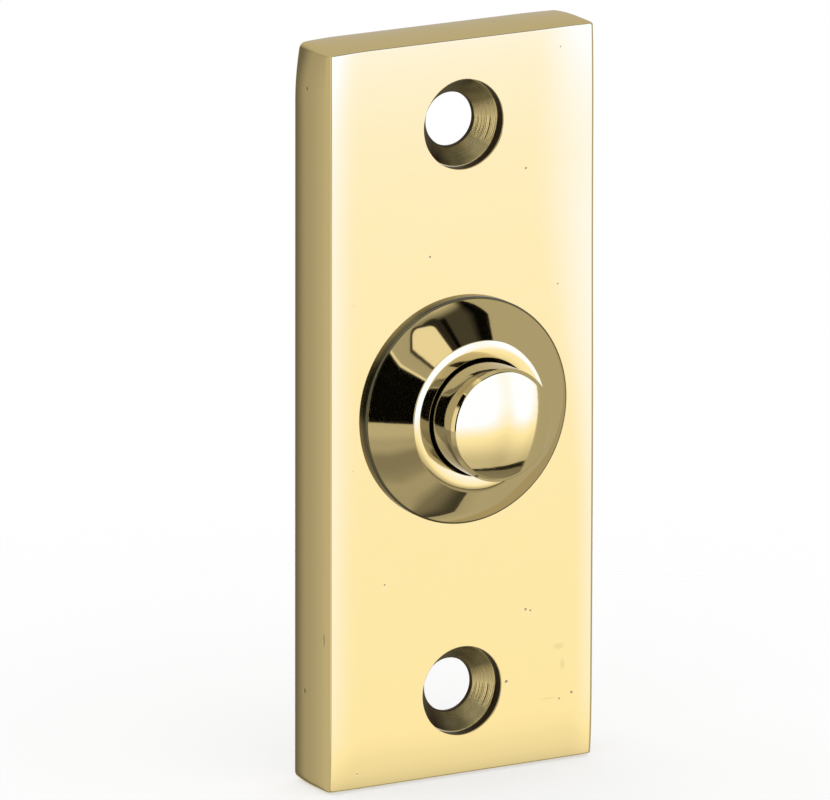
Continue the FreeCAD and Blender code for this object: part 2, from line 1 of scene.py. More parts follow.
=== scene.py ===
# %% [markdown]
# # A brass doorbell push, dressed for its portrait
#
# This notebook takes the engineer's model of a small surface doorbell push and gives it the looks
# of the real thing. The model already has every piece at its true size: a hollow cast plate, a
# turned collar, a domed push on a coil spring, and the little switch behind the plate.
#
# Nothing here moves or resizes a piece. Where the engineer's surface is good, it only gets a
# finish. Where a mirror polish would show its facets, a smoother surface of the same form takes
# its place. All lengths below are written in millimetres and turned to metres as a mesh is made.

# %% Load the engineer's model
import functools
import math

import bmesh
import bpy
import numpy as np
from mathutils import Matrix, Vector


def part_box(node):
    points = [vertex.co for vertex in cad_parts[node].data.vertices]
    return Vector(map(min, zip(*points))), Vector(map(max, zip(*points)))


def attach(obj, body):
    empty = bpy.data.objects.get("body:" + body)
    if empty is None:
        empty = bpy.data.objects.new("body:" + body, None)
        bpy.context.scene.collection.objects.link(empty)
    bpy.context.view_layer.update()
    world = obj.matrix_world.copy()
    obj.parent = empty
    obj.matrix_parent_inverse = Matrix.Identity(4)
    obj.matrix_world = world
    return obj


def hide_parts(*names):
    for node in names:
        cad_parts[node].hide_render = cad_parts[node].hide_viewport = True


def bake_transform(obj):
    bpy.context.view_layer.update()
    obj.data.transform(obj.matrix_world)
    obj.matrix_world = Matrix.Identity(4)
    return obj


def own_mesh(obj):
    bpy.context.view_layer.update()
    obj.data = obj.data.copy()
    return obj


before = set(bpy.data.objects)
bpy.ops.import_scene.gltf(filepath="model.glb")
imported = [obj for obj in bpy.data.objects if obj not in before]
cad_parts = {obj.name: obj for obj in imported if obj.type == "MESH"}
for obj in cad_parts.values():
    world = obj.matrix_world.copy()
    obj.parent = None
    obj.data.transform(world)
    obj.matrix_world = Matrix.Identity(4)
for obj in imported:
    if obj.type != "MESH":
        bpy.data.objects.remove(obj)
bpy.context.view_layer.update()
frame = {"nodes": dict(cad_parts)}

MM = 0.001

# %% [markdown]
# ## Sizes
#
# A handful of sizes drive everything that is drawn again here. They are the maker's sizes: the
# plate's outline and depth, the collar's and push's turned profiles, and the holes. The plate's
# outer size is read back from the model, so that the new surface fits the old one.

# %% Driving sizes, in millimetres
plate_low, plate_high = (np.array(corner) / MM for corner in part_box("face_plate"))
BOX_MARGIN = 0.001
HALF_WIDTH = float(min(plate_high[0], -plate_low[0])) - BOX_MARGIN
HALF_HEIGHT = float(plate_high[2])
FACE_OUT = float(-plate_low[1])
SIDE_BULGE = 0.3
CORNER_ROUND = 0.6
FACE_CORNER, CORNER_REACH = 0.2, 3.0
ARRIS_ROUND = 0.16
WEB_BACK = 4.6
RIM_WALL = 3.0
RECESS_ROUND = 2.0

FIXING_HEIGHT = 31.75
FIXING_HEAD_RADIUS = 4.97
FIXING_SINK = 1.3
FIXING_FLAT = 0.13
SINK_RADIUS = FIXING_HEAD_RADIUS - FIXING_FLAT
FIXING_HOLE_RADIUS = 3.0

MOUTH_RADIUS = 6.55
GUIDE_RADIUS = 7.5
SPIGOT_RADIUS = 9.0
SHOULDER_OUT = 10.2
COLLAR_TOP = 12.26
PUSH_RADIUS = 6.3
PUSH_RIM = 16.4
STEM_RADIUS = 2.4
STEM_END = 5.2
print(f"plate {2 * HALF_WIDTH:.2f} x {2 * HALF_HEIGHT:.2f} x {FACE_OUT:.2f} mm")

# %% [markdown]
# ## Surfaces from formulas
#
# Every new piece is a grid of points worked out at once with numpy. Either a section is turned
# about the push's axis, as on a lathe, or one closed loop changes step by step into the next.
# The helpers below make sections from straight runs and arcs, turn them, and put grids into a
# mesh whose seams are then welded.

# %% Sections: straight runs and arcs
def straight(start, end, count):
    """Points spaced evenly from start to end, without the end."""
    share = np.linspace(0, 1, count, endpoint=False)[:, None]
    return np.array(start) * (1 - share) + np.array(end) * share


def runs(points, counts):
    """Straight runs from each point to the next, each in its own number of steps."""
    return np.concatenate([straight(*run) for run in zip(points, points[1:], counts)])


def arc(centre, start, end, count):
    """Points on the circle about centre, from start by the shorter way to end, without the end.
    The angle grows evenly, and the radius goes evenly from the start's to the end's."""
    centre, start, end = (np.array(point, float) for point in (centre, start, end))
    first = math.atan2(*(start - centre)[::-1])
    sweep = math.atan2(*(end - centre)[::-1]) - first
    sweep = (sweep + math.pi) % (2 * math.pi) - math.pi
    share = np.linspace(0, 1, count, endpoint=False)
    angle = first + sweep * share
    radius = np.linalg.norm(start - centre) * (1 - share) + np.linalg.norm(end - centre) * share
    return centre + radius[:, None] * np.stack([np.cos(angle), np.sin(angle)], axis=1)


def turned(section, turns=256):
    """A section of (radius, out) points turned about the push's axis: at angle a the point is
    (radius cos a, -out, radius sin a)."""
    angle = np.linspace(0, 2 * math.pi, turns, endpoint=False)
    radius, out = np.asarray(section)[:, :1], np.asarray(section)[:, 1:]
    return np.stack(
        [radius * np.cos(angle), -out * np.ones_like(angle), radius * np.sin(angle)], axis=2
    )


# %% Grids into a mesh
WELD = 1e-7


def grid_faces(rows, columns, closed, first):
    """Four corner numbers for every cell of a grid whose points are numbered row by row."""
    numbers = np.arange(rows * columns).reshape(rows, columns) + first
    ahead = np.roll(numbers, -1, axis=1) if closed else numbers[:, 1:]
    here = numbers if closed else numbers[:, :-1]
    cells = np.stack([here[:-1], ahead[:-1], ahead[1:], here[1:]], axis=-1)
    return cells.reshape(-1, 4)


def placed(name, mesh, sharp_angle):
    """An object for the mesh, smooth but for the edges that turn by more than that angle."""
    mesh.shade_smooth()
    mesh.set_sharp_from_angle(angle=math.radians(sharp_angle))
    thing = bpy.data.objects.new(name, mesh)
    bpy.context.scene.collection.objects.link(thing)
    return thing


def piece(name, grids, sharp_angle=32):
    """A welded mesh object from grids, each an array of rows x columns x 3 in millimetres and
    whether its columns close on themselves. Faces are turned outwards after the weld."""
    points, faces, first = [], [], 0
    for grid, closed in grids:
        rows, columns = grid.shape[:2]
        points.append(grid.reshape(-1, 3) * MM)
        faces.append(grid_faces(rows, columns, closed, first))
        first += rows * columns
    mesh = bpy.data.meshes.new(name)
    mesh.from_pydata(np.concatenate(points).tolist(), [], np.concatenate(faces).tolist())
    welded = bmesh.new()
    welded.from_mesh(mesh)
    bmesh.ops.remove_doubles(welded, verts=welded.verts, dist=WELD)
    bmesh.ops.dissolve_degenerate(welded, edges=welded.edges, dist=WELD)
    bmesh.ops.recalc_face_normals(welded, faces=welded.faces)
    open_edges = sum(1 for edge in welded.edges if len(edge.link_faces) != 2)
    welded.to_mesh(mesh)
    welded.free()
    print(f"{name}: {len(mesh.polygons)} faces, {open_edges} open edges")
    return placed(name, mesh, sharp_angle)


# %% [markdown]
# ## The plate
#
# The real plate is a casting, filed and polished by hand. Its sides are barrelled, its front
# arris is crisp, and its face isn't quite flat: the polishing mop takes a little more at the
# edges, so that reflections bend and pale there. A flat face would show one even colour.
#
# The plate could be the engineer's own mesh with a subdivision, but its triangles would ripple
# in a mirror polish. Here it is a stack of rounded loops, from the face's edge round the side
# and into the recess, and six zones that each fan out from a hole to the edge.

# %% The plate's face: how far out each point stands
EDGE_HALF_WIDTH = HALF_WIDTH - SIDE_BULGE
EDGE_HALF_HEIGHT = HALF_HEIGHT - SIDE_BULGE
LEFT_DROP, LEFT_BAND = 0.17, 4.2
RIGHT_SLOPE_LOW, RIGHT_SLOPE_HIGH = 0.070, 0.082
RIGHT_BAND_LOW, RIGHT_BAND_HIGH = 2.6, 8.6
WIDENING_START, WIDENING_END = -12.0, 27.0
ROLL_TOP, TOP_REACH = 0.24, 4.5
ROLL_BOTTOM, BOTTOM_REACH = 0.27, 2.5


def nearness(distance, reach):
    """One at an edge, falling evenly to nought at that reach from it."""
    return np.clip(1 - distance / reach, 0, 1)


def face_level(x, z):
    """The face's distance out: the plate's depth less four drops. Along the left side it grows
    as the cube of the way into a narrow band, drop * (1 - distance / band)^3. Along the right
    it grows as the square, slope * band / 2 * (1 - distance / band)^2, in a band that widens
    upwards. At each end it dies away exponentially."""
    upwards = np.clip((z - WIDENING_START) / (WIDENING_END - WIDENING_START), 0, 1)
    upwards = upwards**2 * (3 - 2 * upwards)
    band = RIGHT_BAND_LOW + (RIGHT_BAND_HIGH - RIGHT_BAND_LOW) * upwards
    slope = RIGHT_SLOPE_LOW + (RIGHT_SLOPE_HIGH - RIGHT_SLOPE_LOW) * upwards
    drop = slope * band / 2 * nearness(EDGE_HALF_WIDTH - x, band) ** 2
    drop += LEFT_DROP * nearness(EDGE_HALF_WIDTH + x, LEFT_BAND) ** 3
    drop += ROLL_TOP * np.exp(-(EDGE_HALF_HEIGHT - z) / TOP_REACH)
    drop += ROLL_BOTTOM * np.exp(-(z + EDGE_HALF_HEIGHT) / BOTTOM_REACH)
    return FACE_OUT - drop


# %% The barrelled sides, and the corners drawn in by the mop
TAPER_FACE, TAPER_BACK, TAPER_REACH = 0.06, 0.62, 6.5
TOP_TAPER_LEFT, TOP_TAPER_RIGHT, TOP_TAPER_REACH = 0.2, 0.1, 5.0
FULLNESS, FULL_DEPTH, FULL_BAND = 0.27, 0.4, 0.2


def barrel(out):
    """How far the side stands beyond its edges: a shallow arc over the plate's depth."""
    middle = FACE_OUT / 2
    bow = (middle**2 + SIDE_BULGE**2) / (2 * SIDE_BULGE)
    return np.sqrt(bow**2 - (out - middle) ** 2) - (bow - SIDE_BULGE)


def hand_finished(grid):
    """The grid with the plate's upper corners drawn in. The left side comes in by the square of
    the way into the last stretch below the corner, more at the back than at the face, and the
    top comes down in the same way towards each corner. The right arris is fuller: just below
    the face the side stands out by a quarter of an ellipse, which dies away behind."""
    x, y, z = np.moveaxis(grid, 2, 0)
    near_top = nearness(EDGE_HALF_HEIGHT - z, TAPER_REACH) ** 2
    near_side = nearness(EDGE_HALF_WIDTH - np.abs(x), TOP_TAPER_REACH) ** 2
    narrowing = (TAPER_BACK + (TAPER_FACE - TAPER_BACK) * -y / FACE_OUT) * near_top
    below = np.clip((face_level(x, z) + y) / FULL_DEPTH, 0, 1)
    full = FULLNESS * np.sqrt(below * (2 - below)) * nearness(EDGE_HALF_WIDTH - x, FULL_BAND)
    full *= (1 - barrel(-y) / SIDE_BULGE) * np.sqrt(np.clip(-2 * y / FACE_OUT - 1, 0, 1))
    leftness = np.clip(-x / EDGE_HALF_WIDTH, 0, 1)
    height = np.clip(z / EDGE_HALF_HEIGHT, 0, 1)
    lowering = np.where(x < 0, TOP_TAPER_LEFT, TOP_TAPER_RIGHT) * near_side
    return np.stack([x + narrowing * leftness + full, y, z - lowering * height], axis=2)


# %% Loops and zones of the plate
ZONE_BORDER = 20.0
SIDE_STEPS, MIDDLE_STEPS, END_STEPS, CORNER_STEPS = 44, 80, 66, 6


def side_heights(reach):
    """Heights along a straight side of that reach, the zones' borders among them."""
    border = ZONE_BORDER * reach / (EDGE_HALF_HEIGHT - CORNER_ROUND)
    low = np.linspace(-reach, -border, SIDE_STEPS, endpoint=False)
    middle = np.linspace(-border, border, MIDDLE_STEPS, endpoint=False)
    high = np.linspace(border, reach, SIDE_STEPS + 1)
    return np.concatenate([low, middle, high])


def loop(inset, corner):
    """The plate's edge moved inwards by inset, as (x, z) points: up the right side, over the
    top, down the left side and back under, always with the same number of points."""
    half = np.array([EDGE_HALF_WIDTH - inset, EDGE_HALF_HEIGHT - inset])
    centre = half - corner
    up = side_heights(centre[1])
    along = np.linspace(centre[0], -centre[0], END_STEPS)
    quarter = np.linspace(0, math.pi / 2, CORNER_STEPS + 2)[1:-1]
    turn = np.stack([np.cos(quarter), np.sin(quarter)], axis=1) * corner + centre
    right = np.stack([np.full_like(up, half[0]), up], axis=1)
    top = np.stack([along, np.full_like(along, half[1])], axis=1)
    upper = np.concatenate([right, turn, top, turn[::-1] * [-1, 1]])
    return np.concatenate([upper, -upper])


# %% From a zone's edge to its hole, and down the hole
def zone_edge(outline, zone, centre):
    """The points of an outline in the lower, middle or upper zone, and of the level lines that
    part the zones, in order round the zone's hole."""
    border = outline[SIDE_STEPS + MIDDLE_STEPS, 1]
    low, high = {-1: (-np.inf, -border), 0: (-border, border), 1: (border, np.inf)}[zone]
    near = 1e-9
    kept = outline[(outline[:, 1] > low - near) & (outline[:, 1] < high + near)]
    across = np.linspace(-1, 1, END_STEPS)[1:-1] * outline[:, 0].max()
    lines = [np.stack([across, np.full_like(across, height)], axis=1)
             for height in (low, high) if np.isfinite(height)]
    edge = np.concatenate([kept, *lines])
    angle = np.arctan2(edge[:, 1] - centre, edge[:, 0])
    return edge[np.argsort(angle)]


def fan(edge, centre, radius, level, rings):
    """Rows from a zone's edge to its round hole. Along each ray from the hole's centre, the
    distance goes from the edge to the hole's radius, in steps that are shorter at both ends,
    and level gives how far out each point stands."""
    ray = edge - [0, centre]
    reach = np.linalg.norm(ray, axis=1)
    share = (1 - np.cos(np.linspace(0, math.pi, rings))) / 2
    distance = reach + (radius - reach) * share[:, None]
    points = ray / reach[:, None] * distance[:, :, None] + [0, centre]
    x, z = points[..., 0], points[..., 1]
    return np.stack([x, -level(x, z), z], axis=2)


def hole_rows(front, back, centre, section):
    """Rows down a hole: the rays of the face's fan turn gradually into those of the floor's,
    and section gives the radius and the distance out of each row."""
    rays = [edge - [0, centre] for edge in (front, back)]
    rays = [ray / np.linalg.norm(ray, axis=1)[:, None] for ray in rays]
    share = np.linspace(0, 1, len(section))[:, None, None]
    ray = rays[0] * (1 - share) + rays[1] * share
    ray /= np.linalg.norm(ray, axis=2)[:, :, None]
    points = ray * section[:, 0][:, None, None] + [0, centre]
    out = np.broadcast_to(section[:, 1][:, None], points.shape[:2])
    return np.stack([points[..., 0], -out, points[..., 1]], axis=2)


# %% The plate's sides
FACE_RINGS, FLOOR_RINGS = 30, 8
SPIGOT_GAP = 0.03
BACK_ROUND = 0.2
RECESS_EASE, HOLE_EASE = 0.3, 0.05
ARRIS_STEPS, SIDE_LOOPS, BACK_STEPS = 6, 22, 5
SIDE_START, SIDE_END = FACE_OUT - 1.1, BACK_ROUND + 0.1


def corner_round(out):
    """The radius of the plate's corners: small at the crisp face, and full further back."""
    share = min((FACE_OUT - out) / CORNER_REACH, 1.0)
    return FACE_CORNER + (CORNER_ROUND - FACE_CORNER) * share


def plate_sides():
    """Loops over the arris, down the barrelled side, round the back edge and into the recess.
    The arris follows the rolled edge of the face and the sides soon forget it."""
    rows = []
    for turn in np.linspace(0, math.pi / 2, ARRIS_STEPS):
        outline = loop(ARRIS_ROUND * (1 - math.sin(turn)), FACE_CORNER)
        rows.append((outline, face_level(*outline.T) - ARRIS_ROUND * (1 - math.cos(turn))))
    for out in np.linspace(SIDE_START, SIDE_END, SIDE_LOOPS):
        rows.append((loop(-barrel(out), corner_round(out) + barrel(out)), out))
    for turn in np.linspace(0, math.pi / 2, BACK_STEPS):
        inset = BACK_ROUND * (1 - math.cos(turn)) - barrel(0)
        rows.append((loop(inset, CORNER_ROUND), BACK_ROUND * (1 - math.sin(turn))))
    rows += [
        (loop(RIM_WALL - RECESS_EASE, RECESS_ROUND + RECESS_EASE), 0.0),
        (loop(RIM_WALL, RECESS_ROUND), RECESS_EASE),
        (loop(RIM_WALL, RECESS_ROUND), WEB_BACK - RECESS_EASE),
        (loop(RIM_WALL + RECESS_EASE, RECESS_ROUND - RECESS_EASE), WEB_BACK),
    ]
    return np.stack([
        np.stack([outline[:, 0], np.broadcast_to(-out, len(outline)), outline[:, 1]], axis=1)
        for outline, out in rows
    ])


# %% The holes, and the plate put together
def fixing_section(level):
    """A fixing hole's section: eased edge, counterbore wall, a narrow flat that the tool left,
    right-angled sink, plain hole."""
    floor = FACE_OUT - FIXING_SINK
    top, brink = (FIXING_HEAD_RADIUS + HOLE_EASE, level), (FIXING_HEAD_RADIUS, level - HOLE_EASE)
    points = [brink, (FIXING_HEAD_RADIUS, floor), (SINK_RADIUS, floor),
              (FIXING_HOLE_RADIUS, floor - SINK_RADIUS + FIXING_HOLE_RADIUS),
              (FIXING_HOLE_RADIUS, WEB_BACK)]
    ease = arc((top[0], brink[1]), top, brink, 4)
    return np.concatenate([ease, runs(points, (5, 2, 8, 2)), points[-1:]])


def plate_grids():
    """The sides, and for each zone one grid from the face's edge through the hole to the edge
    of the recess's floor."""
    grids = [(plate_sides(), True)]
    front = loop(ARRIS_ROUND, FACE_CORNER)
    back = loop(RIM_WALL + RECESS_EASE, RECESS_ROUND - RECESS_EASE)
    bore = SPIGOT_RADIUS + SPIGOT_GAP
    for zone in (-1, 0, 1):
        centre = zone * FIXING_HEIGHT
        level = float(face_level(0.0, centre + FIXING_HEAD_RADIUS * (zone == 0)))
        section = fixing_section(level) if zone else np.array([(bore, level), (bore, WEB_BACK)])
        edges = [zone_edge(outline, zone, centre) for outline in (front, back)]
        face = fan(edges[0], centre, section[0, 0], face_level, FACE_RINGS)
        floor = fan(edges[1], centre, section[-1, 0], lambda x, z: x * 0 + WEB_BACK, FLOOR_RINGS)
        wall = hole_rows(*edges, centre, section)
        wall[0] = face[-1]
        grids.append((np.concatenate([face, wall[1:], floor[-2::-1]]), True))
    return grids


plate = piece("plate_casting", [(hand_finished(grid), closed) for grid, closed in plate_grids()])
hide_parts("face_plate")
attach(plate, "plate")

# %% [markdown]
# ## The collar and the push
#
# Both are turned from brass bar and polished while they spin, so a section turned about the
# axis is exactly how they are made. The collar has a foot, a cone whose outer rim the mop has
# rolled over, and a crowned land round the mouth. The push has a low dome and a thin bevel.
# What matters in a mirror is the slope, so the sections are arcs that meet without a kink.

# %% The collar's section
FOOT_RADIUS = 12.65
FOOT_BEVEL = 0.13
RIM_RADIUS, RIM_OUT = FOOT_RADIUS - FOOT_BEVEL, 8.98
RIM_ROLL, RIM_DROP = 1.5, 0.14
LAND_EDGE, LAND_RISE = MOUTH_RADIUS + 1.87, 0.17
NOSE = 0.1
CROWN_RADIUS = MOUTH_RADIUS + 1.05
LIP_ROUND, LIP_DROP = 0.1, 0.04


def bow_radius(chord, rise):
    """The radius of an arc that rises by rise over a chord."""
    return (chord**2 / 4 + rise**2) / (2 * rise)


def collar_section():
    """The section from the spigot's foot over the rim, the cone and the land into the mouth."""
    outer_bow = bow_radius(2 * (LAND_EDGE - CROWN_RADIUS), LAND_RISE)
    lip = (MOUTH_RADIUS + LIP_ROUND, COLLAR_TOP - LIP_DROP)
    inner_bow = bow_radius(2 * (CROWN_RADIUS - lip[0]), LIP_DROP)
    land = np.array([LAND_EDGE, COLLAR_TOP - LAND_RISE])
    land_centre = np.array([CROWN_RADIUS, COLLAR_TOP - outer_bow])
    nose_centre = land + (land_centre - land) * NOSE / outer_bow
    cone_top = nose_centre + [NOSE, 0]
    slope = (cone_top[1] - RIM_OUT - RIM_DROP) / (RIM_RADIUS - cone_top[0])
    steepness = math.hypot(1, slope)
    climb = RIM_DROP + RIM_ROLL * slope
    roll_start = np.array([RIM_RADIUS - RIM_ROLL, RIM_OUT + climb])
    roll_radius = (RIM_ROLL**2 + climb**2) * steepness / (2 * RIM_DROP)
    roll_centre = roll_start - np.array([slope, 1]) * roll_radius / steepness
    print(f"the cone leans {math.degrees(math.atan(slope)):.1f} degrees")
    spigot = [(GUIDE_RADIUS, WEB_BACK), (SPIGOT_RADIUS, WEB_BACK), (SPIGOT_RADIUS, FACE_OUT),
              (FOOT_RADIUS, FACE_OUT), (FOOT_RADIUS, RIM_OUT - FOOT_BEVEL)]
    bore = [(MOUTH_RADIUS, lip[1] - LIP_ROUND), (MOUTH_RADIUS, SHOULDER_OUT),
            (GUIDE_RADIUS, SHOULDER_OUT), (GUIDE_RADIUS, WEB_BACK)]
    return np.concatenate([
        runs(spigot, (2, 4, 4, 5)),
        arc((RIM_RADIUS, RIM_OUT - FOOT_BEVEL), spigot[-1], (RIM_RADIUS, RIM_OUT), 7),
        arc(roll_centre, (RIM_RADIUS, RIM_OUT), roll_start, 12),
        straight(roll_start, cone_top, 30),
        arc(nose_centre, cone_top, land, 7),
        arc(land_centre, land, (CROWN_RADIUS, COLLAR_TOP), 12),
        arc((CROWN_RADIUS, COLLAR_TOP - inner_bow), (CROWN_RADIUS, COLLAR_TOP), lip, 10),
        arc((lip[0], lip[1] - LIP_ROUND), lip, bore[0], 5),
        runs(bore, (6, 2, 4)),
        bore[-1:],
    ])


collar = piece("collar_turned", [(turned(collar_section(), 360), True)])
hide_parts("collar")
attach(collar, "plate")

# %% The push's section
PUSH_EDGE = 0.35
DOME_RISE = 0.85
FLANGE_RADIUS, FLANGE_BACK = 7.4, 9.2
PEG_RADIUS, PEG_FLOOR = 1.2, 7.2


def push_section():
    """The section from the dome's pole over the bevel and down the side, the flange and the
    stem, to the socket that holds the insulating tip."""
    foot = PUSH_RADIUS - PUSH_EDGE
    crown = PUSH_RIM + PUSH_EDGE
    bow = bow_radius(2 * foot, DOME_RISE)
    points = [(foot, crown), (PUSH_RADIUS, PUSH_RIM), (PUSH_RADIUS, SHOULDER_OUT),
              (FLANGE_RADIUS, SHOULDER_OUT), (FLANGE_RADIUS, FLANGE_BACK),
              (STEM_RADIUS, FLANGE_BACK), (STEM_RADIUS, STEM_END), (PEG_RADIUS, STEM_END),
              (PEG_RADIUS, PEG_FLOOR), (0, PEG_FLOOR)]
    dome = arc((0, crown + DOME_RISE - bow), (0, crown + DOME_RISE), (foot, crown), 40)
    return np.concatenate([dome, runs(points, (5, 16, 3, 3, 5, 5, 3, 3, 3)), points[-1:]])


push = piece("push_turned", [(turned(push_section(), 300), True)])
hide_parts("push_button")
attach(push, "push")

# %% [markdown]
# ## Words for shaders
#
# A finish is a sum of masks, noises and colours. Written as nodes by hand that is hard to read,
# so a small class wraps a socket and lets Python's operators add the Math nodes, as in
# `1 - mask * 0.5`. Every other node comes from one method.

# %% A wire that does sums
class Wire:
    """An output socket in a node tree. Operators on it add Math nodes, or Vector Math nodes
    where one side is a vector or a colour."""

    def __init__(self, tree, socket):
        self.tree = tree
        self.socket = socket

    def maths(self, operation, *values):
        """One Math node, or Vector Math node, with the values or wires on its sockets."""
        wide = any(value.socket.type in ("VECTOR", "RGBA") if isinstance(value, Wire)
                   else isinstance(value, tuple) for value in values)
        kind = "ShaderNodeVectorMath" if wide else "ShaderNodeMath"
        return make_node(self.tree, kind, {"operation": operation}, dict(enumerate(values)))

    def __neg__(self):
        return self.maths("MULTIPLY", self, -1.0)

    def min(self, other):
        return self.maths("MINIMUM", self, other)

    def max(self, other):
        return self.maths("MAXIMUM", self, other)

    def ramp(self, start, end, low=0.0, high=1.0):
        """Goes smoothly from low to high as the wire goes from start to end, by Blender's smooth
        step: share^2 * (3 - 2 * share) of the way."""
        sockets = {"Value": self, "From Min": start, "From Max": end, "To Min": low, "To Max": high}
        settings = {"interpolation_type": "SMOOTHSTEP"}
        return make_node(self.tree, "ShaderNodeMapRange", settings, sockets)

    def between(self, low, high, soft):
        """Near one between low and high, and near nought outside."""
        return self.ramp(low - soft, low + soft) * self.ramp(high + soft, high - soft)


def operator(operation, reflected):
    """The method for one operator, or for its reflected form, as in `1 - wire`."""
    def method(wire, other):
        return wire.maths(operation, *((other, wire) if reflected else (wire, other)))
    return method


OPERATORS = {"add": "ADD", "sub": "SUBTRACT", "mul": "MULTIPLY", "truediv": "DIVIDE", "pow": "POWER"}
for word, operation in OPERATORS.items():
    setattr(Wire, f"__{word}__", operator(operation, False))
    setattr(Wire, f"__r{word}__", operator(operation, True))


# %% Nodes from one call
def make_node(tree, kind, settings=None, sockets=None, output=0):
    """A node of that type: its settings first, then the values or wires of its sockets."""
    node = tree.nodes.new(kind)
    for name, value in (settings or {}).items():
        setattr(node, name, value)
    for name, value in (sockets or {}).items():
        target = node.inputs[name]
        if isinstance(value, Wire):
            tree.links.new(value.socket, target)
            continue
        if target.type == "VECTOR" and not isinstance(value, tuple):
            value = (value, value, value)
        target.default_value = (*value, 1.0) if target.type == "RGBA" else value
    return Wire(tree, node.outputs[output]) if node.outputs else node


def blend_colours(mask, low, high):
    """The colour low where the mask is nought, and high where it is one."""
    sockets = {0: mask, 6: low, 7: high}
    return make_node(mask.tree, "ShaderNodeMix", {"data_type": "RGBA"}, sockets, 2)


# %% A finish: tree, coordinates, noise and bump
EMPTY_CELLS, TINY = 0.8, 0.001
MARK_CORE = 0.35


class Finish:
    """A material under construction, with the wires that every finish needs."""

    def __init__(self, name):
        self.material = bpy.data.materials.new(name)
        self.material.use_nodes = True
        self.tree = self.material.node_tree
        self.tree.nodes.clear()
        self.place = self.node("ShaderNodeTexCoord", output="Object")
        parts = (self.node("ShaderNodeSeparateXYZ", None, {0: self.place}, n) for n in range(3))
        self.x, self.y, self.z = (part / MM for part in parts)
        self.out = -self.y

    def node(self, kind, settings=None, sockets=None, output=0):
        return make_node(self.tree, kind, settings, sockets, output)

    def noise(self, size, detail=2.0, stretch=(1.0, 1.0, 1.0), shift=0.0, rough=0.5):
        """Noise of about that size in millimetres, drawn out along an axis by stretch."""
        scale = tuple(1 / (size * MM * part) for part in stretch)
        place = self.place * scale + (shift, shift, shift)
        sockets = {"Vector": place, "Scale": 1.0, "Detail": detail, "Roughness": rough}
        return self.node("ShaderNodeTexNoise", {"noise_dimensions": "3D"}, sockets)

    def rings(self, way, detail=1.0):
        """Lines square to a way along the surface: noise that depends on that way alone."""
        sockets = {"W": way, "Scale": 1.0, "Detail": detail}
        return self.node("ShaderNodeTexNoise", {"noise_dimensions": "1D"}, sockets)

    def specks(self, spacing, share, shift=0.0):
        """Small round spots, one in each cell of a random pattern of that spacing, each with a
        size of its own: one at a spot's centre, nought outside the share of the cell."""
        place = self.place * (1 / (spacing * MM)) + (shift, shift, shift)
        sockets = {"Vector": place, "Scale": 1.0}
        distance, colour = (self.node("ShaderNodeTexVoronoi", {"feature": "F1"}, sockets, output)
                            for output in range(2))
        chance = self.node("ShaderNodeSeparateColor", sockets={0: colour}, output=0)
        size = (chance - EMPTY_CELLS).max(0.0) * (share / (1 - EMPTY_CELLS))
        return (1 - distance / (size + TINY)).max(0.0)

    def radius_from(self, height, x=0.0):
        """The distance from the line along the plate's depth at that height and x."""
        across = self.x - x
        rise = self.z - height
        return (across * across + rise * rise) ** 0.5

    def mark(self, x, out, z, reach):
        """One small place on the surface: one at its centre and nought beyond its reach, which
        is a length in millimetres or one for each axis."""
        reach = reach if isinstance(reach, tuple) else (reach, reach, reach)
        scale = tuple(1 / (length * MM) for length in reach)
        off = (self.place - (x * MM, -out * MM, z * MM)) * scale
        distance = self.node("ShaderNodeVectorMath", {"operation": "LENGTH"}, {0: off}, 1)
        return distance.ramp(1.0, MARK_CORE)

    def bump(self, height, distance, strength=1.0, normal=None):
        """A normal bent by a height given in shares of distance, which is in millimetres."""
        sockets = {"Height": height, "Distance": distance * MM, "Strength": strength}
        if normal is not None:
            sockets["Normal"] = normal
        return self.node("ShaderNodeBump", None, sockets)

    def principled(self, **sockets):
        """Ends the finish with a Principled shader. Names have underscores for spaces."""
        named = {name.replace("_", " "): value for name, value in sockets.items()}
        shader = self.node("ShaderNodeBsdfPrincipled", None, named)
        self.node("ShaderNodeOutputMaterial", None, {"Surface": shader})
        return self.material


def give(material, *things):
    """Puts one material in every slot of each thing, and makes a slot where it has none."""
    for thing in things:
        if not thing.material_slots:
            thing.data.materials.append(material)
        for slot in thing.material_slots:
            slot.material = material


# %% [markdown]
# ## Brass
#
# Polished brass has no colour of its own under the light: it tints what it mirrors, strongly in
# the blue and hardly in the red. So the colour is a metal's reflectance, and nearly all of the
# look is in the slope of the surface: fine turning lines on the lathe work, a slight waviness
# and a few pits and hairline scratches on the hand-polished casting, and dull brown tarnish
# down the fixing holes, where no mop reaches. Some colour is painted light and shade: a painted
# highlight on the lower right of each fixing hole, and painted shade in the holes' depths, in the
# gap between the collar and the push, and on the push's side.

# %% Brass colours
BRASS = (0.95, 0.75, 0.34)
GLANCING_TINT = (1.0, 0.95, 0.82)
SECOND_IMAGE, DULL_IMAGE = (0.86, 0.84, 0.80), (0.26, 0.24, 0.20)
# Tarnish colours that also carry painted light and shade: the pale one is painted light in the fixing
# holes, and the darker ones are painted shade in the holes, the collar's bore and on the push.
TARNISH_AND_SHADE, PALE_TARNISH_AND_LIGHT = (0.155, 0.128, 0.055), (0.80, 0.64, 0.27)
NEAR_BLACK_SHADE = (0.045, 0.027, 0.012)


def mirrored(finish, colour, shade):
    """The colour as it is, but nearly grey where the metal is itself seen in a mirror, so that
    an image of an image keeps the first one's tint and doesn't turn orange. The shade is one
    where the metal is dull, and where painted shade darkens it."""
    seen_in_metal = finish.node("ShaderNodeLightPath", output="Is Glossy Ray")
    second = blend_colours(shade, SECOND_IMAGE, DULL_IMAGE)
    return blend_colours(seen_in_metal, colour, second)


def brass(finish, colour, roughness, normal):
    """Ends a brass finish: metal all over, a little paler at a glancing angle."""
    return finish.principled(Base_Color=colour, Metallic=1.0, Roughness=roughness,
                             Specular_Tint=GLANCING_TINT, Normal=normal)


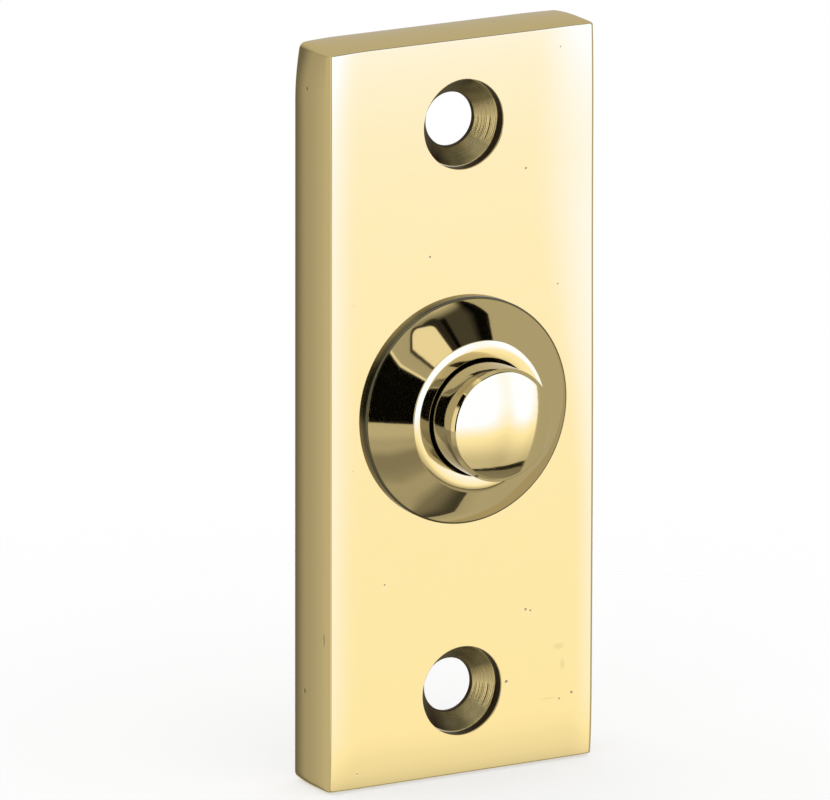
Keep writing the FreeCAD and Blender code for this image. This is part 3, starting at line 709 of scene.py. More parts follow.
# %% The marks on the plate: where each lies, and its reach
PITS = [(14.1, 34.7, 0.2), (14.0, 29.5, 0.15), (7.8, 26.0, 0.13), (-13.1, -39.5, 0.2),
        (5.6, -31.5, 0.22), (8.0, -23.6, 0.15), (8.6, -23.8, 0.12), (13.9, -33.8, 0.16),
        (-4.2, 17.5, 0.12), (-9.8, -18.5, 0.1), (11.9, 12.6, 0.1)]
SMUDGES = [(12.2, -28.3, (0.9, 2, 0.5)), (12.7, -30.4, (0.4, 2, 0.9)), (11.0, -34.1, (1.3, 2, 0.12))]
NICKS = [(-16.6, 2.7, -30.8, (2, 0.35, 0.3)), (-16.4, 3.1, 36.6, (2, 0.3, 0.25)),
         (-16.6, 6.8, -24.2, (2, 0.15, 0.9)), (6.5, 3.3, 41.6, (0.3, 0.3, 2))]
FINE_SPECKS, COARSE_SPECKS = (1.7, 0.055), (3.1, 0.05)
NICK_SHARE, PIT_SHADE, SMUDGE_SHADE = 0.6, 0.6, 0.12


def plate_marks(finish):
    """Two masks: pits and nicks, and smudges. Small specks are scattered all over, and the
    larger marks are placed one by one at (x, height) on the face or (x, out, height) on the
    sides, each nought beyond its own reach."""
    pits = finish.specks(*FINE_SPECKS) + finish.specks(*COARSE_SPECKS, shift=3.0)
    for x, z, reach in PITS:
        pits = pits + finish.mark(x, FACE_OUT, z, reach)
    for place in NICKS:
        pits = pits + finish.mark(*place) * NICK_SHARE
    return pits, sum(finish.mark(x, FACE_OUT, z, reach) for x, z, reach in SMUDGES)


# %% The plate's fixing holes
TOOL_LINES = 9.0
# The hole's lit side: its tone and its highlight are painted light, brighter to the right and
# downwards.
LIT_SIDE_WAY, LIT_SIDE_FROM, LIT_SIDE_TO = (0.995, -0.09), 0.80, 0.97
TONE_SIDE, TONE_LIT_SIDE, TONE_LOWER = 0.4, 0.6, 0.2
TONE_LINE, TONE_STAIN, TONE_LESS = 0.35, 0.45, 0.42
# Painted shade on the left side of each fixing hole.
HOLE_SHADE_FROM, HOLE_SHADE_TO, HOLE_SHADE_SHARE = 0.2, -2.6, 0.6
SINK_ROUGHNESS, STAIN_ROUGHNESS = 0.22, 0.12
FLAT_GLOSS, LIT_SIDE_GLOSS = 0.6, 0.8
LIT_SIDE_HIGHLIGHT, FLAT_BRIGHT, FLAT_BRIGHT_LOWER = 0.4, 0.2, 0.5


def sunk_brass(finish):
    """The fixing holes: a mask, tool lines, colour and roughness. The tone of the tarnish rises
    towards the right and downwards as painted light, with the tool's lines and stains in it, and
    a painted highlight in the brass's colour is laid on the right. The counterbore's wall, the
    plain hole and the left side are near black with painted shade, and the narrow flat between
    wall and sink is paler, with painted light that grows downwards."""
    radius = finish.radius_from(FIXING_HEIGHT).min(finish.radius_from(-FIXING_HEIGHT))
    below = finish.out.ramp(FACE_OUT - 0.05, FACE_OUT - 0.3)
    dull = radius.ramp(FIXING_HEAD_RADIUS + 0.12, FIXING_HEAD_RADIUS + 0.02) * below
    wall = radius.ramp(FIXING_HEAD_RADIUS - 0.04, FIXING_HEAD_RADIUS - 0.01)
    flat = radius.ramp(SINK_RADIUS - 0.02, SINK_RADIUS + 0.02) * (1 - wall)
    hollow = radius.ramp(FIXING_HOLE_RADIUS + 0.12, FIXING_HOLE_RADIUS + 0.02)
    line = finish.rings(radius * TOOL_LINES, 3.0)
    stain = finish.noise(1.3, 3.0, shift=21.0)

    # Painted light: the tone rises towards the right and downwards, where light falls in the hole.
    rise = finish.z - finish.z.maths("SIGN", finish.z) * FIXING_HEIGHT
    rightness = (finish.x * LIT_SIDE_WAY[0] + rise * LIT_SIDE_WAY[1]) / radius
    lit_side = rightness.ramp(LIT_SIDE_FROM, LIT_SIDE_TO)
    lower = (rise / radius).ramp(0.2, -0.8)
    tone = rightness.ramp(-0.1, 1.0) * TONE_SIDE + lit_side * TONE_LIT_SIDE + lower * TONE_LOWER
    tone = tone + line * TONE_LINE + stain * TONE_STAIN - TONE_LESS
    colour = blend_colours(tone.max(0.0).min(1.0), TARNISH_AND_SHADE, PALE_TARNISH_AND_LIGHT)
    # Painted shade: the left side, the counterbore's wall and the plain hole are darkened to near
    # black.
    hole_left_shade = finish.x.ramp(HOLE_SHADE_FROM, HOLE_SHADE_TO) * (1 + stain) * HOLE_SHADE_SHARE
    colour = blend_colours((wall + hole_left_shade + hollow).min(1.0), colour, NEAR_BLACK_SHADE)
    # Painted highlight: the brass's colour laid over the lit right side, and on the flat, more
    # towards the bottom.
    bright = lit_side * (1 - wall) * (1 - hollow) * (LIT_SIDE_HIGHLIGHT + stain)
    bright = bright.max(flat * (lower * FLAT_BRIGHT_LOWER + FLAT_BRIGHT))
    colour = blend_colours(bright.min(1.0), colour, BRASS)
    worn = (1 - flat * FLAT_GLOSS) * (1 - lit_side * LIT_SIDE_GLOSS)
    return dull, line, colour, dull * (SINK_ROUGHNESS + stain * STAIN_ROUGHNESS) * worn


# %% The plate's finish
WAVE, WAVE_SHARE, RIPPLE, RIPPLE_SHARE = 9.0, 0.6, 2.2, 0.08
WAVE_DEPTH, PIT_DEPTH, TOOL_LINE_DEPTH = 0.02, 0.05, 0.03
FACE_ROUGHNESS, HAIR_ROUGHNESS = 0.07, 0.2
HAIR_WIDTH, HAIR_LENGTHS, HAIR_RARITY = 0.09, (1.0, 60.0, 90.0), 0.62


def plate_finish():
    """Hand-polished casting: waviness, marks, hairline scratches, and dull fixing holes with painted
    light and shade in them.
    """
    finish = Finish("polished_casting")
    wave = finish.noise(WAVE, 1.0) * WAVE_SHARE + finish.noise(RIPPLE, 1.0, shift=7.0) * RIPPLE_SHARE
    hairs = (finish.noise(HAIR_WIDTH, 1.0, HAIR_LENGTHS, rough=0.4) - HAIR_RARITY).max(0.0)
    pits, smudges = plate_marks(finish)
    dull, line, sunk, sunk_roughness = sunk_brass(finish)
    colour = blend_colours(pits.min(1.0) * PIT_SHADE + smudges * SMUDGE_SHADE, BRASS, TARNISH_AND_SHADE)
    colour = mirrored(finish, blend_colours(dull, colour, sunk), dull * 0.5)
    normal = finish.bump(wave, WAVE_DEPTH)
    normal = finish.bump(-pits, PIT_DEPTH, normal=normal)
    normal = finish.bump(line * dull, TOOL_LINE_DEPTH, normal=normal)
    return brass(finish, colour, FACE_ROUGHNESS + hairs * HAIR_ROUGHNESS + sunk_roughness, normal)


# %% The finish of the turned pieces
LATHE_ROUGHNESS, LATHE_LINES = 0.045, 4.0
LATHE_WAVE, LATHE_WAVE_SHARE, CLOUD, CLOUD_ROUGHNESS = 2.5, 0.6, 1.5, 0.02
COLLAR_LINE_DEPTH, PUSH_LINE_DEPTH = 0.0010, 0.0005
FOOT_HAZE, BORE_HAZE, LAND_HAZE, MOUTH_HAZE = 0.2, 0.4, 0.02, 0.3
# The bore, the push's side and the push below the mouth carry painted shade.
BORE_SHADE, SIDE_SHADE, MOUTH_SHADE = 2.0, 0.55, 1.45


def lathe_finish(name, line_depth, shift, dull):
    """Turned and polished brass: fine rings about the push's axis and a trace of waviness. The
    function dull gives a shade, which is nought where it is polished, one where the brass is dark
    brown and two where it is near black, mostly painted shade, and a haze that adds to the
    roughness."""
    finish = Finish(name)
    radius = finish.radius_from(0.0)
    line = finish.rings((radius + finish.out) * LATHE_LINES + shift)
    wave = finish.noise(LATHE_WAVE, 1.0, shift=shift) * LATHE_WAVE_SHARE
    cloud = finish.noise(CLOUD, 2.0, shift=shift + 4.0) * CLOUD_ROUGHNESS
    shade, haze = dull(finish, radius)
    # Painted shade: a shade up to one darkens the brass to brown, and past one to near black.
    colour = blend_colours(shade.min(1.0), BRASS, TARNISH_AND_SHADE)
    colour = mirrored(finish, colour, shade.min(1.0))
    colour = blend_colours((shade - 1.0).max(0.0), colour, NEAR_BLACK_SHADE)
    return brass(finish, colour, LATHE_ROUGHNESS + cloud + haze, finish.bump(line + wave, line_depth))


def collar_shade_and_haze(finish, radius):
    """The wall of the collar's foot, dark brown, and its bore below the lip, near black with
    painted shade round the gap to the push. The land round the mouth is a little hazy, because
    fingers touch it."""
    foot = finish.out.ramp(RIM_OUT + 0.13, RIM_OUT + 0.03) * radius.ramp(12.0, 12.3)
    # Painted shade: the bore inside the lip, round the gap to the push, is near black.
    bore = finish.out.ramp(COLLAR_TOP - 0.12, COLLAR_TOP - 0.3) * radius.ramp(8.0, 7.5)
    land = radius.ramp(LAND_EDGE, LAND_EDGE - 0.3)
    return foot + bore * BORE_SHADE, land * LAND_HAZE + foot * FOOT_HAZE + bore * BORE_HAZE


def push_shade_and_haze(finish, radius):
    """The push's side, darkened with painted shade, and near black with painted shade below the mouth
    of the collar.
    """
    # Painted shade: the push's side above the collar is darkened towards brown.
    side = radius.ramp(PUSH_RADIUS - 0.06, PUSH_RADIUS - 0.02)
    side = side * finish.out.ramp(PUSH_RIM + 0.05, PUSH_RIM - 0.1)
    # Painted shade: below the mouth the push stands in the gap and is near black.
    below = finish.out.ramp(COLLAR_TOP - 0.1, COLLAR_TOP - 0.35)
    return side * SIDE_SHADE + below * MOUTH_SHADE, below * MOUTH_HAZE


give(plate_finish(), plate)
give(lathe_finish("turned_collar_brass", COLLAR_LINE_DEPTH, 0.0, collar_shade_and_haze), collar)
give(lathe_finish("turned_push_brass", PUSH_LINE_DEPTH, 11.0, push_shade_and_haze), push)

# %% [markdown]
# ## The return spring
#
# The switch is seen only from behind. Its spring is a wire of hardened steel, wound with one
# closed turn at each end so that it stands square, and open turns between. It shortens as the
# push goes in, so it is drawn again as a mesh that may be squashed: a circle carried along a
# helix. The squash flattens the wire a little too, which nobody sees inside the collar.

# %% The return spring: a wire carried along a helix
SEAT_TOP = 5.0
WIRE_RADIUS = 0.22
COIL_RADIUS = 4.2
CLOSED_PITCH = 2 * WIRE_RADIUS + 0.04


def spring_path(count):
    """The wire's centre line. Its height out grows at the closed pitch over the first and last
    turns, and evenly over the two open turns between."""
    first = SEAT_TOP + WIRE_RADIUS
    last = FLANGE_BACK - WIRE_RADIUS
    turns = np.linspace(0, 4, count)
    knots = [0, 1, 3, 4]
    heights = [first, first + CLOSED_PITCH, last - CLOSED_PITCH, last]
    angle = 2 * math.pi * turns
    return np.stack([COIL_RADIUS * np.cos(angle), -np.interp(turns, knots, heights),
                     COIL_RADIUS * np.sin(angle)], axis=1)


def wire_grid(path, radius, around=14):
    """A round wire along a path: rings square to the path's own direction, drawn in to a point
    at both ends."""
    along = np.gradient(path, axis=0)
    along /= np.linalg.norm(along, axis=1)[:, None]
    outward = path * [1, 0, 1]
    outward /= np.linalg.norm(outward, axis=1)[:, None]
    across = np.cross(along, outward)
    angle = np.linspace(0, 2 * math.pi, around, endpoint=False)
    ring = outward[:, None] * np.cos(angle)[:, None] + across[:, None] * np.sin(angle)[:, None]
    body = path[:, None] + ring * radius
    first, last = (np.tile(point, (1, around, 1)) for point in (path[0], path[-1]))
    return np.concatenate([first, body, last])


spring = piece("spring_wire", [(wire_grid(spring_path(400), WIRE_RADIUS), True)], 60)
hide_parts("return_spring")
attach(spring, "plate")
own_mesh(spring)

# %% [markdown]
# ## The moving leaf and its silver
#
# The moving contact is a strip of phosphor bronze, clamped at its upper end and cranked down
# into the well of the block, where the push's tip bends it. Its holes and its crank are already
# right in the engineer's surface, but that surface has no points along its length to bend at.
# So a copy of it is merged and cut across into short lengths. The silver on its tail is attached
# to the push.

# %% The leaf: the engineer's strip, cut across so that it can bend
LEAF_FOOT, LEAF_TAIL = 11.7, -9.0
LEAF_CUTS, LEAF_SHARP = 40, 30


def cut_across(node, name, heights):
    """A merged copy of a node's surface, cut by a level plane at each of the heights."""
    mesh = frame["nodes"][node].data.copy()
    mesh.name = name
    strip = bmesh.new()
    strip.from_mesh(mesh)
    bmesh.ops.remove_doubles(strip, verts=strip.verts, dist=WELD)
    for height in heights:
        everything = strip.verts[:] + strip.edges[:] + strip.faces[:]
        bmesh.ops.bisect_plane(strip, geom=everything, dist=WELD, plane_co=(0, 0, height * MM),
                               plane_no=(0, 0, 1))
    strip.to_mesh(mesh)
    strip.free()
    print(f"{name}: {len(mesh.polygons)} faces after {len(heights)} cuts")
    return placed(name, mesh, LEAF_SHARP)


cuts = np.linspace(LEAF_TAIL, LEAF_FOOT, LEAF_CUTS)[1:-1]
leaf = cut_across("moving_contact", "moving_leaf", cuts)
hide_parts("moving_contact")
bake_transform(leaf)

# %% The moving silver: a small turned button on the leaf's tail
SILVER_HEIGHT = -7.0
SILVER_RADIUS = 1.2
SILVER_BACK, SILVER_FACE = 3.7, 3.45
SILVER_EASE = 0.07


def silver_section():
    """The section from the leaf over an eased edge to the middle of the contact face."""
    rim = (SILVER_RADIUS - SILVER_EASE, SILVER_FACE)
    shoulder = (SILVER_RADIUS, SILVER_FACE + SILVER_EASE)
    back = [(0, SILVER_BACK), (SILVER_RADIUS, SILVER_BACK), shoulder]
    ease = arc((rim[0], shoulder[1]), shoulder, rim, 4)
    return np.concatenate([runs(back, (4, 2)), ease, straight(rim, (0, SILVER_FACE), 5),
                           [(0, SILVER_FACE)]])


button = turned(silver_section(), 64) + [0, 0, SILVER_HEIGHT]
silver = piece("moving_silver_button", [(button, True)])
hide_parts("moving_silver")
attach(silver, "push")

# %% [markdown]
# ## Finishes behind the plate
#
# Nothing here was ever polished. The strips still show the lines of the rolling mill, the
# rivets and terminals the rings of the lathe, and the screws have a thin coat of zinc with its
# faint clouds. The block is a dark moulding with swirls where the resin flowed, the spring's
# seat is red fibre, and the push's tip is nylon that lets a little light in. Each is one short
# function, and the engineer's meshes keep their shape and only take a material.

# %% Dull metals
BRONZE, STRIP_BRASS, TURNED_BRASS = (0.72, 0.48, 0.28), (0.76, 0.60, 0.30), (0.74, 0.58, 0.28)
SILVER, SPARKED_SILVER = (0.86, 0.86, 0.85), (0.22, 0.20, 0.18)
STEEL, ZINC = (0.50, 0.49, 0.47), (0.56, 0.57, 0.58)
FILM_DARKENING, FILM_SHARE, FILM_EDGE = 0.55, 0.7, (0.42, 0.68)
STRIP_SURFACE, MILL_LINE, MILL_ROUGHNESS = (2.2, 0.27, 0.15, 0.006), 0.11, 0.08
TURNED_SURFACE, RINGS_ACROSS, RINGS_OUT = (1.2, 0.24, 0.16, 0.012), 9.0, 3.0
WIRE_SURFACE, WIRE_GRAIN = (0.7, 0.26, 0.12, 0.004), 0.08
SILVER_ROUGHNESS, SILVER_GRAIN, SILVER_DEPTH = 0.34, 0.2, 0.008
SPARK_REACH, SPARK_SIZE, SPARK_SHARE, SPARK_ROUGHNESS = 0.75, 0.25, 0.6, 0.3


def dull_metal(finish, colour, surface, shift, relief, rougher=0.0):
    """Ends a finish of bare metal, darker and rougher in patches where a film of oxide has
    grown. The surface is the film's size, the roughness, what the film adds to it, and the
    depth of the relief."""
    film_size, roughness, film_roughness, depth = surface
    film = finish.noise(film_size, 4.0, shift=shift).ramp(*FILM_EDGE)
    dark = tuple(part * FILM_DARKENING for part in colour)
    return finish.principled(Base_Color=blend_colours(film * FILM_SHARE, colour, dark), Metallic=1.0,
                             Roughness=film * film_roughness + (roughness + rougher),
                             Normal=finish.bump(relief, depth))


def rolled_finish(name, colour, shift):
    """Rolled strip: fine lines along its length, and a film in patches."""
    finish = Finish(name)
    line = finish.noise(MILL_LINE, 2.0, (1.0, 1.0, 60.0), shift)
    return dull_metal(finish, colour, STRIP_SURFACE, shift, line, line * MILL_ROUGHNESS)


def ringed_finish(name, colour, centres, shift):
    """Turned work: rings about the nearest of the given (x, height) centres."""
    finish = Finish(name)
    nearest = functools.reduce(Wire.min, (finish.radius_from(height, x) for x, height in centres))
    ring = finish.rings(nearest * RINGS_ACROSS + finish.out * RINGS_OUT + shift, 2.0)
    return dull_metal(finish, colour, TURNED_SURFACE, shift, ring)


def drawn_steel():
    """Hard drawn wire: nearly smooth, a little brown from its heat treatment."""
    finish = Finish("drawn_spring_steel")
    return dull_metal(finish, STEEL, WIRE_SURFACE, 5.0, finish.noise(WIRE_GRAIN, 2.0))


def dull_silver():
    """Silver with a pale film, and grey where sparks have touched its middle."""
    finish = Finish("dull_contact_silver")
    spark = finish.noise(SPARK_SIZE, 3.0, shift=3.0).ramp(0.4, 0.65)
    spark = spark * finish.radius_from(SILVER_HEIGHT).ramp(SPARK_REACH, 0.1)
    base = blend_colours(spark * SPARK_SHARE, SILVER, SPARKED_SILVER)
    return finish.principled(Base_Color=base, Metallic=1.0,
                             Roughness=SILVER_ROUGHNESS + spark * SPARK_ROUGHNESS,
                             Normal=finish.bump(finish.noise(SILVER_GRAIN, 3.0), SILVER_DEPTH))


# %% The metals are given out
TERMINAL_HEIGHT, MOVING_RIVET_HEIGHT, FIXED_RIVET_HEIGHT = 18.5, 14.6, -11.25
BLOCK_SCREW_X, BLOCK_SCREW_HEIGHT = 8.125, 10.5
terminals = [(0, height) for height in
             (TERMINAL_HEIGHT, -TERMINAL_HEIGHT, MOVING_RIVET_HEIGHT, FIXED_RIVET_HEIGHT)]
screws = [(-BLOCK_SCREW_X, BLOCK_SCREW_HEIGHT), (BLOCK_SCREW_X, -BLOCK_SCREW_HEIGHT)]
node = frame["nodes"]
turned_parts = [node[f"terminal_{part}_{end}"] for part in ("insert", "washer", "screw")
                for end in ("upper", "lower")] + [node["moving_rivet"], node["fixed_rivet"]]
give(rolled_finish("rolled_phosphor_bronze", BRONZE, 2.0), leaf)
give(rolled_finish("rolled_contact_brass", STRIP_BRASS, 9.0), node["fixed_contact"])
give(ringed_finish("turned_terminal_brass", TURNED_BRASS, terminals, 4.0), *turned_parts)
give(ringed_finish("zinc_plated_steel", ZINC, screws, 8.0), node["block_screw_upper"],
     node["block_screw_lower"])
give(drawn_steel(), spring)
give(dull_silver(), silver, node["fixed_silver"])

# %% Mouldings and fibre
PHENOLIC, PHENOLIC_SWIRL = (0.035, 0.024, 0.019), (0.06, 0.036, 0.026)
FIBRE, FIBRE_DARK = (0.42, 0.13, 0.08), (0.25, 0.07, 0.045)
NYLON, NYLON_SHADE = (0.85, 0.83, 0.76), (0.74, 0.70, 0.60)
SWIRLS, SWIRL_BEND, SWIRL_EDGE = 0.35, 5.0, (0.35, 0.8)
SKIN, SKIN_DEPTH, SKIN_ROUGHNESS = 0.35, 0.01, 0.12
SCRATCH, SCRATCH_LENGTHS, SCRATCH_RARITY, SCRATCH_ROUGHNESS = 0.1, (50.0, 1.0, 20.0), 0.63, 1.0
MAT, MAT_LENGTHS, MAT_DEPTH, MAT_ROUGHNESS = 0.22, (3.0, 1.0, 1.0), 0.02, 0.2
CLOUDS, CLOUDS_DEPTH, CLOUDS_ROUGHNESS = 1.1, 0.01, 0.12
PHENOLIC_ROUGHNESS, FIBRE_ROUGHNESS, NYLON_ROUGHNESS = 0.3, 0.5, 0.38
TIP_WORN_FROM, TIP_WORN_TO = 4.5, 4.0


def moulding(finish, base, roughness, relief, depth, **others):
    """Ends a finish that isn't metal, with a fine relief."""
    return finish.principled(Base_Color=base, Roughness=roughness,
                             Normal=finish.bump(relief, depth), **others)


def moulded_phenolic():
    """A glossy dark moulding: swirls of resin, dust in the pores, faint scratches."""
    finish = Finish("moulded_phenolic")
    bend = finish.noise(7.0, 2.0, shift=1.0) * SWIRL_BEND
    swirl = finish.rings(finish.z * SWIRLS + bend, 3.0).ramp(*SWIRL_EDGE)
    skin = finish.noise(SKIN, 3.0, shift=6.0)
    scratch = (finish.noise(SCRATCH, 1.0, SCRATCH_LENGTHS) - SCRATCH_RARITY).max(0.0)
    roughness = PHENOLIC_ROUGHNESS + skin * SKIN_ROUGHNESS + scratch * SCRATCH_ROUGHNESS
    base = blend_colours(swirl, PHENOLIC, PHENOLIC_SWIRL)
    return moulding(finish, base, roughness, skin, SKIN_DEPTH)


def red_fibre():
    """Vulcanised fibre: matted cotton in a hard red sheet, drawn out a little sideways."""
    finish = Finish("red_vulcanised_fibre")
    mat = finish.noise(MAT, 4.0, MAT_LENGTHS, rough=0.7)
    base = blend_colours(mat.ramp(0.35, 0.7), FIBRE_DARK, FIBRE)
    return moulding(finish, base, FIBRE_ROUGHNESS + mat * MAT_ROUGHNESS, mat, MAT_DEPTH)


def natural_nylon():
    """Moulded nylon: milky, and darker in clouds and at the worn end that meets the leaf."""
    finish = Finish("natural_nylon")
    cloud = finish.noise(CLOUDS, 3.0, shift=2.0)
    worn = finish.out.ramp(TIP_WORN_FROM, TIP_WORN_TO) * 0.5
    base = blend_colours((cloud * 0.6 + worn).min(1.0), NYLON, NYLON_SHADE)
    return moulding(finish, base, NYLON_ROUGHNESS + cloud * CLOUDS_ROUGHNESS, cloud, CLOUDS_DEPTH,
                    Subsurface_Weight=0.3, Subsurface_Scale=MM)


# %% The mouldings are given out
give(moulded_phenolic(), node["contact_block"])
give(red_fibre(), node["spring_seat"])
give(natural_nylon(), node["button_tip"])
print("finished:", sorted(material.name for material in bpy.data.materials if material.users))

# %% [markdown]
# ## The studio
#
# Brass shows its surroundings, so the studio matters as much as the metal. A large soft panel
# in front makes the face and the dome glow. It is a cool white at its brightest, so that gold
# bleaches towards white there. Dark cards on the left and above draw the black shapes on the
# cone, and the room beyond is a plain mid grey. Only mirrors see all this: what is dull gets an
# even light, and the camera sees plain white.
#
# The room is drawn in angles rather than as objects, so that it stays sharp at any distance. The
# bearing is nought in front of the plate and grows to the right, the height grows upwards, both
# in degrees, and each card covers those laid before it. In a ramp, the first two numbers are
# angles between which the light changes, and the last two are its levels there.

# %% Directions and cards
DEGREES = 180 / math.pi


def directions(tree):
    """The bearing and the height from which the world is asked for light."""
    way = make_node(tree, "ShaderNodeTexCoord", output="Generated")
    x, y, z = (make_node(tree, "ShaderNodeSeparateXYZ", None, {0: way}, n) for n in range(3))
    return x.maths("ARCTAN2", x, -y) * DEGREES, z.maths("ARCSINE", z) * DEGREES


def laid(level, mask, value):
    """A card of that value laid over the level where the mask is one."""
    return level + (value - level) * mask


def rectangle(bearing, height, left, right, low, high, soft):
    """A mask that is one between left and right and between low and high, with soft edges."""
    return bearing.between(left, right, soft) * height.between(low, high, soft)


# %% The room's own grey, and the white card on the left
ROOM, RIGHT_WALL, WHITE_CARD = 0.51, 0.43, 0.85
REAR_WALL, REAR_SOFT = (-230, -126, -60, 75), 6
LEFT_CARD, LEFT_SOFT = (-110, -54, -16, 90), 1


def bare_room(bearing, height):
    """Mid grey, a little darker on the right. The rear wall is dim on the left up to eye level
    and reaches the room's grey above it."""
    level = bearing.ramp(40, 56, ROOM, RIGHT_WALL) + bearing.ramp(118, 135, 0.0, ROOM - RIGHT_WALL)
    rear = bearing.ramp(-166, -154, 0.15, 0.37) + bearing.ramp(-156, -132, 0.0, 0.16)
    rear = rear.max(height.ramp(-6, 24, 0.0, ROOM))
    level = laid(level, rectangle(bearing, height, *REAR_WALL, REAR_SOFT), rear)
    return laid(level, rectangle(bearing, height, *LEFT_CARD, LEFT_SOFT), WHITE_CARD)


# %% The dark card above
TOP_LEFT, TOP_RIGHT, TOP_CREST = -54, 70, 62
TOP_FOOT, TOP_FOOT_RIGHT = 15, 30
CORNER_BEARING, CORNER_HEIGHT, CORNER_WIDE, CORNER_TALL = 40, 41, 17.5, 18.5
LEFT_SHADE, MIDDLE_SHADE, CREST_SHADE = 0.4, 0.055, 0.36


def top_cards(level, bearing, height):
    """A dark card with a step in its foot and its upper right corner rounded to an ellipse. It
    is pale on the left and at its crest, dark in the middle and black on the right. White
    shows above its left half."""
    foot = bearing.ramp(4, 8, TOP_FOOT, TOP_FOOT_RIGHT)
    mask = bearing.between(TOP_LEFT, TOP_RIGHT, 0.8) * (height - foot).ramp(-0.8, 0.8)
    beside = (bearing - CORNER_BEARING).max(0.0) / CORNER_WIDE
    above = (height - CORNER_HEIGHT).max(0.0) / CORNER_TALL
    mask = mask * (beside**2 + above**2).ramp(1.03, 0.97) * height.ramp(TOP_CREST + 1, TOP_CREST - 1)
    shade = bearing.ramp(-27, 4, LEFT_SHADE, MIDDLE_SHADE) + height.ramp(52.5, 60) * CREST_SHADE
    shade = shade * bearing.ramp(36, 48, 1.0, 0.0)
    shade = shade * (1 - bearing.between(4.5, 17, 1.8) * height.ramp(54.5, 51.5))
    level = laid(level, mask, shade)
    return laid(level, height.ramp(58, 62) * bearing.between(-60, -12, 4), WHITE_CARD)


# %% The black card on the left, and the window
PANEL_LEFT, PANEL_RIGHT, PANEL_LOW, PANEL_HIGH = -18, 52, -33, 33
BLACK_LEFT, BLACK_LOW = -54, -12.8
WINDOW_BEARING, WINDOW_LOW, WINDOW_HEIGHT = -8.5, 32, 40
WINDOW_WIDE, WINDOW_TALL = 12.5, 10.7
BORDER_START, BORDER_GROWTH, BORDER_SHADE = -10, 0.12, 0.02


def left_cards(level, bearing, height):
    """A black card with a slanting edge, and a white strip along that edge. Over it a window, of
    which the upper corners are round: (across / wide)^4 + (up / tall)^4 is one on its edge. The
    window's dark border widens to the right."""
    slant = (bearing + 20.5) * 0.63 + (height - 38) * 0.61
    black_foot = BLACK_LOW - (bearing + 42).max(0.0) * 0.42
    black = slant.ramp(-13.4, -14.2) * bearing.between(BLACK_LEFT, PANEL_LEFT, 0.5)
    level = laid(level, black * (height - black_foot).ramp(-0.5, 0.5), 0.0)
    strip = slant.ramp(-15.2, -14.2) * slant.ramp(-12.6, -13.6) * bearing.between(-60, -20, 1)
    level = laid(level, strip, WHITE_CARD)
    across = (bearing - WINDOW_BEARING) / WINDOW_WIDE
    up = (height - WINDOW_HEIGHT).max(0.0) / WINDOW_TALL
    window = across**4 + up**4
    border = window / ((bearing - BORDER_START).max(0.0) * BORDER_GROWTH + 1)
    above_sill = height.ramp(WINDOW_LOW - 2, WINDOW_LOW + 2)
    level = laid(level, border.ramp(2.3, 1.6) * above_sill, BORDER_SHADE)
    return laid(level, window.ramp(1.15, 0.85) * above_sill, WHITE_CARD)


# %% The low cards
LOW_CARD, LOW_SOFT = (-62, PANEL_RIGHT, -66, -13), 0.5
UNDER_CARD, UNDER_SOFT = (0, PANEL_RIGHT, -60, -30), 0.6


def low_cards(level, bearing, height):
    """Greys below the horizon, each a soft ramp: a wide card that darkens downwards, the ground
    in front of it, the ground on the right, and a card under the large panel."""
    low = height.ramp(-20, -27, 0.5, 0.4) + height.ramp(-30, -38) * -0.165
    low = low + height.ramp(-44, -54) * 0.045 + height.ramp(-52, -60) * 0.1
    level = laid(level, rectangle(bearing, height, *LOW_CARD, LOW_SOFT), low)
    ground = bearing.ramp(-20, 15, 0.37, 0.18) + bearing.ramp(15, 66) * -0.13
    level = laid(level, height.ramp(-62, -68) * bearing.between(-70, 70, 0.8), ground)
    right = height.ramp(-50, -66) * bearing.between(70, 110, 0.8)
    level = laid(level, right, bearing.ramp(70, 103, 0.38, 0.48))
    under = height.ramp(-36, -50, 0.2, 0.36)
    return laid(level, rectangle(bearing, height, *UNDER_CARD, UNDER_SOFT), under)


# %% The large soft panel
SILL_MIDDLE, SILL_REACH, SILL_SAG, SILL_SLOPE = 25, 24, 1.8, 0.09
FOOT_DIM, FOOT_BRIGHT, SIDE_RISE = 0.6, 1.08, 2.35
COLUMN_BEARING, COLUMN_LEFT, COLUMN_RIGHT, COLUMN_MOST = 31, 9.5, 5.8, 0.95
LINE_THIN, LINE_THICK, LINE_SHADE = 0.9, 2.7, 0.01


